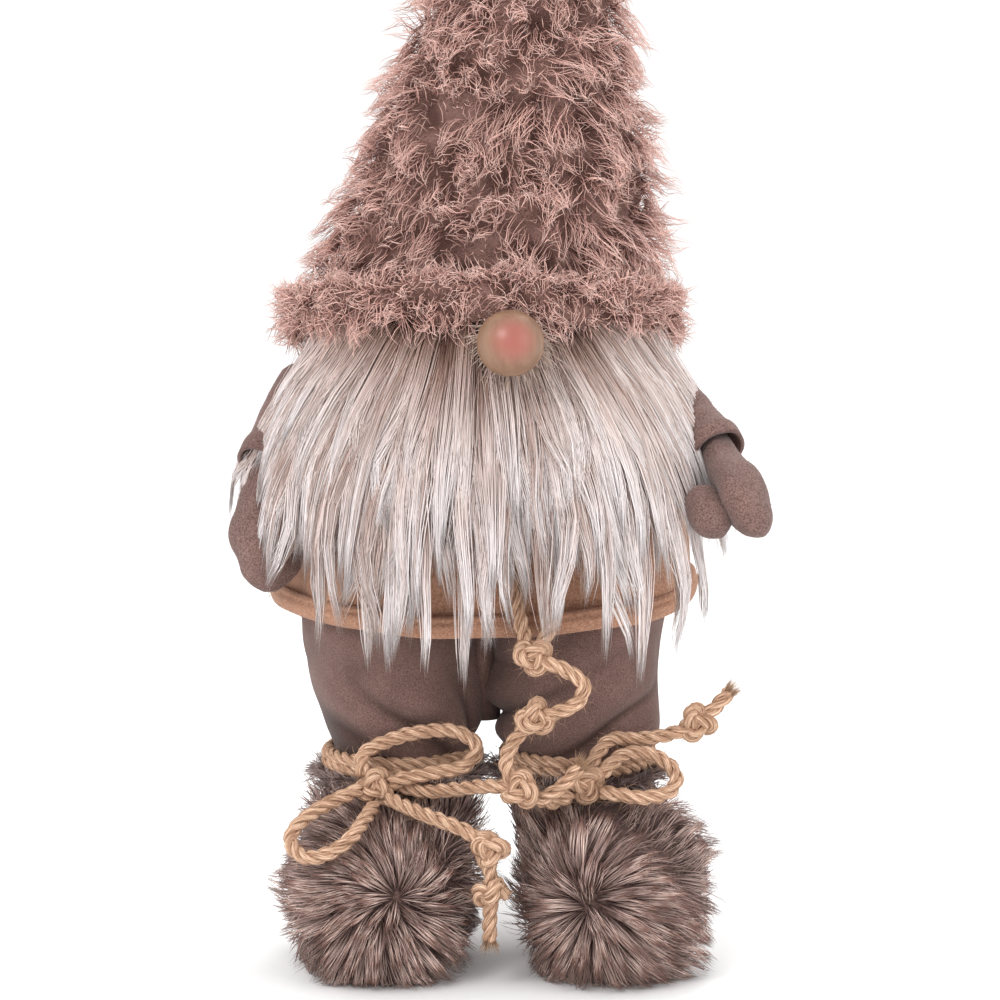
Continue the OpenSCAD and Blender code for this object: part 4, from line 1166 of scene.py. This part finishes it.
# %% Where the wool locks stand
lock_total = 1410
lock_angle, lock_share = even_spread(lock_total, 101)
lock_place, lock_normal, lock_across, lock_up = hat_stand(lock_angle, lock_share)
brim_locks = 420
dice = np.random.default_rng(102)
brim_angle = np.linspace(0, 2 * np.pi, brim_locks, endpoint=False)
brim_angle = brim_angle + 0.35 * np.cos(brim_angle) + dice.normal(0, 0.02, brim_locks)
brim_turn = dice.uniform(-1.0, 1.5, brim_locks)
brim_mid_x, brim_mid_y = (brim_low.x + brim_high.x) / 2, (brim_low.y + brim_high.y) / 2
brim_thick = 0.0045
brim_out_x = (brim_high.x - brim_low.x) / 2 - brim_thick
brim_out_y = (brim_high.y - brim_low.y) / 2 - brim_thick


def brim_surface(angle, turn, proud=0.0):
    """The rolled edge: a leaning ring with an oval cross-section, taller than it is thick, and hanging
    lower at the sides and the back, where it covers the neck."""
    flat = np.cos(turn) * (brim_thick + proud)
    low = np.where(np.sin(turn) < 0, 1.0 + 0.45 * (1 - np.clip(-np.sin(angle), 0, 1)), 1.0)
    x = brim_mid_x + (brim_out_x + flat) * np.cos(angle)
    y = brim_mid_y + (brim_out_y + flat) * np.sin(angle)
    z = brim_middle + brim_tilt * np.sin(angle) + low * np.sin(turn) * (brim_height / 2 + proud)
    return np.stack([x, y, z + 0 * x], axis=-1)


brim_normal = unit(brim_surface(brim_angle, brim_turn, 0.003) - brim_surface(brim_angle, brim_turn))
around_brim = unit(np.stack([-np.sin(brim_angle), np.cos(brim_angle), 0 * brim_angle], axis=-1))
front_part = np.clip(-np.sin(brim_angle), 0, 1) ** 3
brim_place = brim_surface(brim_angle, brim_turn, 0.0055 * front_part - 0.007)
places = np.concatenate([lock_place, brim_place])
normals = np.concatenate([lock_normal, brim_normal])
acrosses = np.concatenate([lock_across, around_brim])
ups = np.concatenate([lock_up, np.cross(brim_normal, around_brim)])
total = lock_total + brim_locks
print(total, "wool locks")

# %% [markdown]
# ## Wool locks
#
# A lock is a few crimped fibres that start apart, close on one another and curl at the end. Each is a
# line that leans out and droops, plus a spiral that widens towards the tip: place = root + length
# (lean t - 0.22 t^2 up) + (0.3 + 2.2 t^2) mm (cos swing first + sin swing second).

# %% Wool locks
# Neighbours lean the same way, as soft noise says, so that locks join into fluffy clumps
leaning = [waves(places, 0.032, seed)[:, None] for seed in (103, 104)]
fall = np.where(np.arange(total) < lock_total, -0.42, -0.10)[:, None] * [0, 0, 1]
lean = unit(normals * 0.72 + fall + acrosses * (0.45 * leaning[0] + dice.normal(0, 0.22, (total, 1)))
            + ups * (0.35 * leaning[1] + dice.normal(0, 0.22, (total, 1))))
reach = dice.uniform(0.011, 0.023, total) * (1 + 0.12 * waves(places, 0.04, 105))
reach[lock_total:] = dice.uniform(0.009, 0.017, brim_locks)
each = 9
steps = 6
lock = np.repeat(np.arange(total), each)
count = len(lock)
t = np.linspace(0, 1, steps)[None, :, None]
round_angle = dice.uniform(0, 2 * np.pi, (count, 1))
from_middle = 0.0062 * np.sqrt(dice.uniform(size=(count, 1)))
sideways = np.cos(round_angle) * acrosses[lock] + np.sin(round_angle) * ups[lock]
length = (reach[lock] * dice.uniform(0.75, 1.08, count))[:, None, None]
root = places[lock][:, None] + (from_middle * sideways)[:, None] * (1 - 0.80 * t)
root = root + sideways[:, None] * 0.0022 * np.sin(np.pi * np.minimum(1.1 * t, 1))
line = root + length * (lean[lock][:, None] * t - np.array([0, 0, 0.22]) * t * t)
flat, _, _ = np.linalg.svd(lean[:, :, None] @ lean[:, None, :])
first, second = flat[:, :, 1][lock][:, None], flat[:, :, 2][lock][:, None]
turns = dice.uniform(0.7, 1.7, total)[lock][:, None, None]
phase = (dice.uniform(0, 2 * np.pi, total)[lock] + dice.normal(0, 0.35, count))[:, None, None]
swing = 2 * np.pi * turns * t + phase
paths = line + (0.0003 + 0.0022 * t ** 2) * (np.cos(swing) * first + np.sin(swing) * second)
paths = paths + dice.normal(0, 0.0003, paths.shape) * np.minimum(1, 3 * t)
shade = dice.uniform(size=total)[lock]
thin = 0.00023 * np.linspace(1.0, 0.6, steps)[None] * dice.uniform(0.75, 1.2, (count, 1))
parts = 4
for part in range(parts):
    chosen = np.arange(part * count // parts, (part + 1) * count // parts)
    fibres(f"hat_wool_locks_{part + 1}", paths[chosen], thin[chosen], curly_wool, "figure",
           shade[chosen], 110 + part)

# %% [markdown]
# ## Ground of the hat
#
# Under the locks lies an opaque lumpy cone, and a lumpy ring under the rolled edge, so that no lining
# shows between the locks. Both carry painted shade in their hollows, which gives the wool its depth.

# %% Hat ground and brim ground
def lump_height(points):
    """How far the ground swells: soft noise about 16 mm long, from 0 in a hollow to 1 on a clump."""
    return np.clip(0.62 + 0.42 * waves(points, 0.022, 106), 0, 1)


hat_around = np.linspace(0, 2 * np.pi, 120, endpoint=False)[None]
hat_rows = np.linspace(0, 1, 110)[:, None]
base, out, _, _ = hat_stand(hat_around + 0 * hat_rows, hat_rows + 0 * hat_around)
lump = lump_height(base.reshape(-1, 3)).reshape(base.shape[:2])
rough = 0.0007 * waves(base, 0.006, 120) + 0.001 * waves(base, 0.015, 121)
grid = base + out * (0.0035 * lump - 0.0055 + rough)[..., None]
points, faces = closed_tube(grid)
layer = np.concatenate([lump.ravel(), [0.5, 1.0]])
ground = new_piece("hat_ground", points, faces, wool_ground, "figure", {"lump": layer})
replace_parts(ground, "hat_wool")

turn = np.linspace(0, 2 * np.pi, 24, endpoint=False)[None]
ring = np.linspace(0, 2 * np.pi, 200, endpoint=False)[:, None]
base = brim_surface(ring + 0 * turn, turn + 0 * ring, -0.002)
lump = lump_height(base.reshape(-1, 3)).reshape(base.shape[:2])
front_part = np.clip(-np.sin(ring), 0, 1) ** 3
swell = 0.0035 * lump + 0.0010 * waves(base, 0.008, 122) - 0.0070 + 0.0025 * front_part
swollen = brim_surface(ring + 0 * turn, turn + 0 * ring, swell)
quads = tube_faces(201, 24, closed_ends=False)[0] % (200 * 24)
brim = new_piece("brim_ground", swollen[::-1].reshape(-1, 3), [quads], wool_ground, "figure",
                 {"lump": lump[::-1].ravel()})
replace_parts(brim, "hat_brim")

# %% [markdown]
# ## Underwool
#
# Real wool is matted at its foot. Thousands of short crooked fibres, standing on the ground's own
# corners, blur the ground and join the locks.

# %% Short underwool that hides the ground
fluff_dice = np.random.default_rng(125)
for part, (skin, count) in enumerate(((ground, 6800), (brim, 6000))):
    at, out = corners_and_normals(skin)
    pick = fluff_dice.integers(0, len(at) - 2, count)
    start = unit(out[pick] * 0.55 + fluff_dice.normal(0, 0.55, (count, 3)))
    twist = fluff_dice.uniform(0, 2 * np.pi, (count, 1)) + np.linspace(0, 7, 4)[None]
    paths = arcs(at[pick] - 0.0008 * out[pick], start, fluff_dice.normal(0, 0.35, (count, 3)),
                 fluff_dice.uniform(0.006, 0.011, count), 4)
    paths[..., 0] += 0.0006 * np.cos(twist)
    paths[..., 2] += 0.0006 * np.sin(twist)
    fibres(f"underwool_{part + 1}", paths, 0.00022, curly_wool, "figure", seed=126 + part)

# %% [markdown]
# ## Nose
#
# A sanded wooden ball with a satin varnish and a soft pink blush in its middle. The grain is noise
# drawn out along the wood, very faint, because a ball this small shows little of it.

# %% Nose
nose_low, nose_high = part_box("nose")
nose_middle = (nose_low + nose_high) / 2
nose_radius = (nose_high.x - nose_low.x) / 2
nose_wood, nose_shader = new_finish("nose_wood", 0.42, 0.4)
nose_shader.inputs["Coat Weight"].default_value = 0.25
nose_shader.inputs["Coat Roughness"].default_value = 0.3
nose_place = add(nose_wood, "TexCoord").outputs["Object"]
nose_local = add(nose_wood, "Mapping", {"Vector": nose_place, "Location": tuple(-nose_middle)})
grain = noise(nose_wood, nose_place, 240.0, 4.0, 0.6, stretch=(1.0, 1.0, 0.2))
wood_colour = ramp(nose_wood, grain, [(0.3, (0.20, 0.108, 0.062)), (0.7, (0.29, 0.163, 0.098))])
blush_middle = (0.0015, -nose_radius, 0.0035)
blush_vector = add(nose_wood, "VectorMath", {0: nose_local.outputs["Vector"], 1: blush_middle},
                   operation="DISTANCE")
blush_reach = {"Value": blush_vector.outputs["Value"], "From Min": 0.003, "From Max": 0.016,
               "To Min": 0.85, "To Max": 0.0}
blush = add(nose_wood, "MapRange", blush_reach, interpolation_type="SMOOTHSTEP")
nose_colour = mixed(nose_wood, blush.outputs["Result"], wood_colour, (0.345, 0.095, 0.074))
link(nose_wood, nose_colour, nose_shader.inputs["Base Color"])
fine_grain = noise(nose_wood, nose_place, 1800.0, 3.0, stretch=(1.0, 1.0, 0.3))
add_bump(nose_wood, nose_shader, fine_grain, 0.08, 0.0002)

tilt = np.linspace(0.02, np.pi - 0.02, 48)[:, None]
ring = np.linspace(0, 2 * np.pi, 96, endpoint=False)[None]
ball = np.stack([np.sin(tilt) * np.cos(ring), np.sin(tilt) * np.sin(ring), -np.cos(tilt) + 0 * ring],
                axis=-1)
ball = ball * nose_radius * [1.0, 1.0, 0.985] + np.array(nose_middle)
points, faces = closed_tube(ball)
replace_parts(new_piece("nose_ball", points, faces, nose_wood, "figure"), "nose")

# %% [markdown]
# ## Beard
#
# The beard is long silky fake fur. It starts in a brown undercoat round the nose, fans out over the
# chest and ends in pointed cream locks at uneven heights. Each lock follows one flow: u says how
# far left or right it is, from -1 to 1, and s how far down, from the hat's edge to the lowest tips.

# %% Beard flow
hair_stops = [(0.0, (0.19, 0.10, 0.074)), (0.15, (0.41, 0.26, 0.21)), (0.36, (0.73, 0.60, 0.56)),
              (0.68, (0.88, 0.81, 0.80)), (1.0, (0.955, 0.92, 0.925))]
beard_hair = fibre_finish("beard_hair", hair_stops, 0.14, streak=(0.46, 0.31, 0.255), roughness=0.45,
                          specular=0.4)
under_stops = [(0.0, (0.20, 0.11, 0.085)), (0.5, (0.44, 0.30, 0.24)), (1.0, (0.62, 0.50, 0.43))]
under_hair = fibre_finish("beard_undercoat", under_stops, 0.3)

body_x = (tunic_low.x + tunic_high.x) / 2
body_y = (tunic_low.y + tunic_high.y) / 2
body_rows_z = np.linspace(hem_high.z, tunic_high.z - 0.001, 30)
body_rows = outline("tunic", body_rows_z)


def beard_flow(u, s, off):
    """A cubic Bezier curve in (angle, height) for each u, wrapped round the body's oval, `off` out
    from the tunic. It starts near the nose, leaves it like a fan, and falls to an uneven edge that is
    lowest in the middle: 158 mm + 58 mm |u|^3."""
    u, s, off = np.broadcast_arrays(u, s, off)
    wide = np.abs(u)
    z_top, z_tip = 0.319 + 0.006 * wide, 0.158 + 0.058 * wide**3
    fan = np.radians(84) * u
    side = np.where(u < 0, 0.92, 1.0)
    angles = [52 * u * side, (50 * u + 21 * np.sin(fan)) * side, 80 * u * side, 79 * u * side]
    z_fan = z_top - 0.040 * np.cos(fan)
    z_low = z_tip + 0.45 * (z_fan - z_tip)
    heights = [z_top, z_fan, z_low, z_tip]
    weight = [(1 - s)**3, 3 * s * (1 - s)**2, 3 * s**2 * (1 - s), s**3]
    angle = np.radians(sum(w * a for w, a in zip(weight, angles)))
    z = sum(w * h for w, h in zip(weight, heights))
    off = off + 0.013 * np.exp(-(u / 0.24) ** 2 - (s / 0.16) ** 2)
    rx = np.interp(z, body_rows_z, body_rows[:, 2]) + off
    ry = np.interp(z, body_rows_z, body_rows[:, 3]) + off
    return np.stack([body_x + rx * np.sin(angle), body_y - ry * np.cos(angle), z], axis=-1)


def lift_at(s):
    """How far the beard's inner face stands off the tunic: 11 mm at the top, 25 mm at the bottom."""
    return 0.011 + 0.014 * np.clip(s, 0, 1) ** 0.8


# %% [markdown]
# ## Beard locks
#
# Long fur parts into locks that end in points. Every lock has its own place across the beard, where
# it starts and ends, how far out it lies and how it bends, and a hair takes these from the lock it
# belongs to. Locks start at different heights, so that some overlap others like shingles.

# %% Beard locks
dice = np.random.default_rng(131)
lock_count = 250
lock_u = (np.arange(lock_count) + 0.5) / lock_count * 2.06 - 1.03
lock_u = np.clip(lock_u + dice.normal(0, 0.02, lock_count), -0.98, 1.04)
dice.shuffle(lock_u)
lock_start = dice.beta(0.8, 1.5, lock_count) * 0.52
lock_end = np.minimum(lock_start + dice.uniform(0.42, 0.62, lock_count), 1.0)
lock_end = lock_end + dice.normal(0, 0.045, lock_count)
lock_end = np.where(lock_start < 0.12, np.maximum(lock_end, dice.uniform(0.5, 0.85, lock_count)), lock_end)
lock_layer = dice.uniform(0.0, 0.009, lock_count) * (1 - 0.5 * lock_start) * (1 - 0.4 * np.abs(lock_u))
lock_bend = dice.normal(0, 0.028, lock_count)
lock_waves = dice.uniform(0.5, 1.3, lock_count)
lock_phase = dice.uniform(0, 2 * np.pi, lock_count)
lock_wide = dice.uniform(0.014, 0.040, lock_count)


def beard_paths(count, steps, inner, dice):
    """Hairs of random locks. A hair starts spread over its lock's width and closes on the lock's line
    by (1 - 0.86 t^0.9), while the whole lock swings by bend sin(2 pi waves t + phase)."""
    lock = dice.integers(0, lock_count, count)
    t = np.linspace(0, 1, steps)[None]
    ends = lock_end[lock] + dice.normal(0, 0.022, count)
    starts = lock_start[lock] + dice.uniform(-0.05, 0.05, count)
    s = starts[:, None] + (ends - starts)[:, None] * t
    spread = dice.normal(0, 1, count)[:, None] * lock_wide[lock][:, None]
    swing = np.sin(2 * np.pi * lock_waves[lock][:, None] * t + lock_phase[lock][:, None])
    swing = lock_bend[lock][:, None] * swing
    own = np.pi * t * dice.uniform(0.6, 2.0, (count, 1)) + dice.uniform(0, 6.28, (count, 1))
    own = 0.006 * np.sin(own)
    u = lock_u[lock][:, None] + spread * (1 - 0.86 * t**0.9) + (swing + own) * t
    deep = dice.uniform(0, 1, (count, 1)) * 0.003 * (1 - 0.6 * t)
    rise = lock_layer[lock][:, None] * np.minimum(1, 2.2 * t) * (0 if inner else 1)
    off = lift_at(s) + rise + deep + 0.002 * np.sin(np.pi * t)
    return beard_flow(u, s, off), lock


pieces = 3
hairs_each = 3350
for part in range(pieces):
    paths, lock = beard_paths(hairs_each, 7, False, dice)
    thin = 0.00026 * np.interp(np.linspace(0, 1, 7), [0, 0.6, 1], [1.0, 0.9, 0.35])[None]
    thin = thin * dice.uniform(0.75, 1.25, (hairs_each, 1))
    shade = dice.uniform(size=lock_count)[lock]
    piece = fibres(f"beard_locks_{part + 1}", paths, thin, beard_hair, "beard", shade,
                   140 + part)
    if part == 0:
        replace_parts(piece, "beard_fur")

# %% [markdown]
# ## Ruff round the nose
#
# The nose sits deep in short brown hair, where the beard, the hat and the ball meet. The hairs stand
# in a ring behind the ball, lean out, forward and down, and hide its dowel.

# %% Ruff round the nose
count = 420
a = dice.uniform(0, 2 * np.pi, count)
ring = np.stack([np.cos(a), np.zeros(count), np.sin(a)], axis=-1)
nose_back = nose_middle.y + nose_radius
root = np.array([nose_middle.x, 0, nose_middle.z]) + ring * dice.uniform(0.003, 0.006, (count, 1))
root[:, 1] = nose_back + dice.uniform(-0.001, 0.016, count)
start = unit(ring + [0, -0.35, -0.25] + dice.normal(0, 0.22, (count, 3)))
bend = dice.normal(0, 0.12, (count, 3)) + [0, 0, -0.35]
paths = arcs(root, start, bend, dice.uniform(0.012, 0.021, count), 6)
fibres("nose_ruff", paths, 0.00024, under_hair, "figure", seed=149)

# %% [markdown]
# ## Undercoat and backing of the beard
#
# Under the locks lies a shorter brown coat, and under that a thin felted pad that bends with the
# beard's flow. The pad keeps the tunic from showing through and gives the fur its body.

# %% Undercoat and backing of the beard
paths, _ = beard_paths(2400, 5, True, dice)
fibres("beard_undercoat", paths, 0.00022, under_hair, "beard", seed=150)
pad_u = np.linspace(-1.0, 1.0, 70)[:, None]
pad_s = np.linspace(0.02, 0.66, 40)[None]
taper = np.minimum(1, 6 * (1 - np.abs(pad_u))) * np.minimum(1, 5 * (0.66 - pad_s))
front = beard_flow(pad_u, pad_s, lift_at(pad_s) - 0.0005 + 0.0015 * taper)
back = beard_flow(pad_u, pad_s, lift_at(pad_s) - 0.0020)
ring = np.concatenate([front, back[:, ::-1]], axis=1)
points, faces = closed_tube(ring)
pad_felt = felt_finish("beard_backing_pile", (0.12, 0.07, 0.055), (0.34, 0.235, 0.19), grain=900.0)
new_piece("beard_pad", points, faces, pad_felt, "beard")

# %% [markdown]
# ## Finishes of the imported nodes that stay
#
# The rods, boards, wires and stuffing are inside. They keep their CAD shape and get a plain
# procedural finish each, so that a figure taken apart still looks right.

# %% Finishes for the inner nodes
def grained(name, dark, light, scale, roughness, stretch=None, metallic=0.0):
    """Two colours mixed by noise, with a slight bump: wood, board, cloth, wadding or wire."""
    finish, shader = new_finish(name, roughness)
    shader.inputs["Metallic"].default_value = metallic
    place = add(finish, "TexCoord").outputs["Object"]
    fac = noise(finish, place, scale, 5.0, 0.65, stretch)
    link(finish, ramp(finish, fac, [(0.3, dark), (0.7, light)]), shader.inputs["Base Color"])
    add_bump(finish, shader, fac, 0.3, 0.0003)
    return finish


inner_finishes = {
    "bare_wood": grained("bare_wood", (0.45, 0.28, 0.15), (0.66, 0.46, 0.28), 220.0, 0.6,
                         (1.0, 1.0, 0.08)),
    "sole_board": grained("sole_board", (0.06, 0.04, 0.03), (0.13, 0.09, 0.07), 500.0, 0.9),
    "pellet_bag": grained("pellet_bag", (0.25, 0.25, 0.27), (0.5, 0.5, 0.52), 350.0, 0.7),
    "wadding": grained("wadding", (0.68, 0.66, 0.62), (0.86, 0.85, 0.82), 180.0, 0.95),
    "hat_lining": grained("hat_lining", (0.10, 0.07, 0.06), (0.16, 0.11, 0.10), 1500.0, 0.9),
    "backing_cloth": grained("backing_cloth", (0.40, 0.34, 0.28), (0.55, 0.48, 0.41), 1400.0, 0.9),
    "thread": grained("thread", (0.16, 0.10, 0.07), (0.28, 0.19, 0.13), 2200.0, 0.8),
    "wire": grained("wire", (0.40, 0.40, 0.42), (0.60, 0.60, 0.62), 900.0, 0.35, None, 1.0),
    "brown_felt": brown_felt,
}
slots = {part["node"]: part["material_slot"] for part in frame["record"]["subparts"]}
kept = 0
for name, node in frame["nodes"].items():
    if node.hide_render:
        continue
    node.data.materials.clear()
    node.data.materials.append(inner_finishes[slots[name]])
    kept += 1
print(kept, "packed nodes keep their own shape")

# %% [markdown]
# ## Studio
#
# A white floor under a white sky, with a broad soft light from the upper left, a weaker one from the
# right and one from behind, keeps the shadows pale, as in a product picture. The floor is very wide,
# so that its far edge stays out of the picture.

# %% Floor and lights
half_floor = 90.0
corners = ((-1, -1), (1, -1), (1, 1), (-1, 1))
floor_points = [(x * half_floor, y * half_floor, -0.0002) for x, y in corners]
floor_mesh = bpy.data.meshes.new("floor")
floor_mesh.from_pydata(floor_points, [], [(0, 1, 2, 3)])
floor_paint, floor_shader = new_finish("floor_paint", 0.7, 0.1)
floor_shader.inputs["Base Color"].default_value = (0.96, 0.96, 0.96, 1.0)
floor_mesh.materials.append(floor_paint)
floor = bpy.data.objects.new("floor", floor_mesh)
bpy.context.scene.collection.objects.link(floor)


def area_light(name, place, aim, size, power):
    """A round lamp of a size in metres and a power in watts, turned towards a point."""
    data = bpy.data.lights.new(name, "AREA")
    data.shape = "DISK"
    data.size = size
    data.energy = power
    light = bpy.data.objects.new(name, data)
    light.location = place
    light.rotation_euler = (Vector(aim) - Vector(place)).to_track_quat("-Z", "Y").to_euler()
    bpy.context.scene.collection.objects.link(light)


area_light("key", (-1.2, -1.8, 1.9), (0, 0, 0.28), 1.1, 30.0)
area_light("fill", (1.8, -1.4, 1.0), (0, 0, 0.25), 1.6, 10.0)
area_light("back", (0.4, 1.1, 1.8), (0, 0, 0.3), 1.2, 12.0)
world = bpy.data.worlds.new("world")
world.use_nodes = True
sky = world.node_tree.nodes["Background"]
sky.inputs["Color"].default_value = (1.0, 1.0, 1.0, 1.0)
sky.inputs["Strength"].default_value = 1.08
bpy.context.scene.world = world
print("lights:", [thing.name for thing in bpy.data.lights])
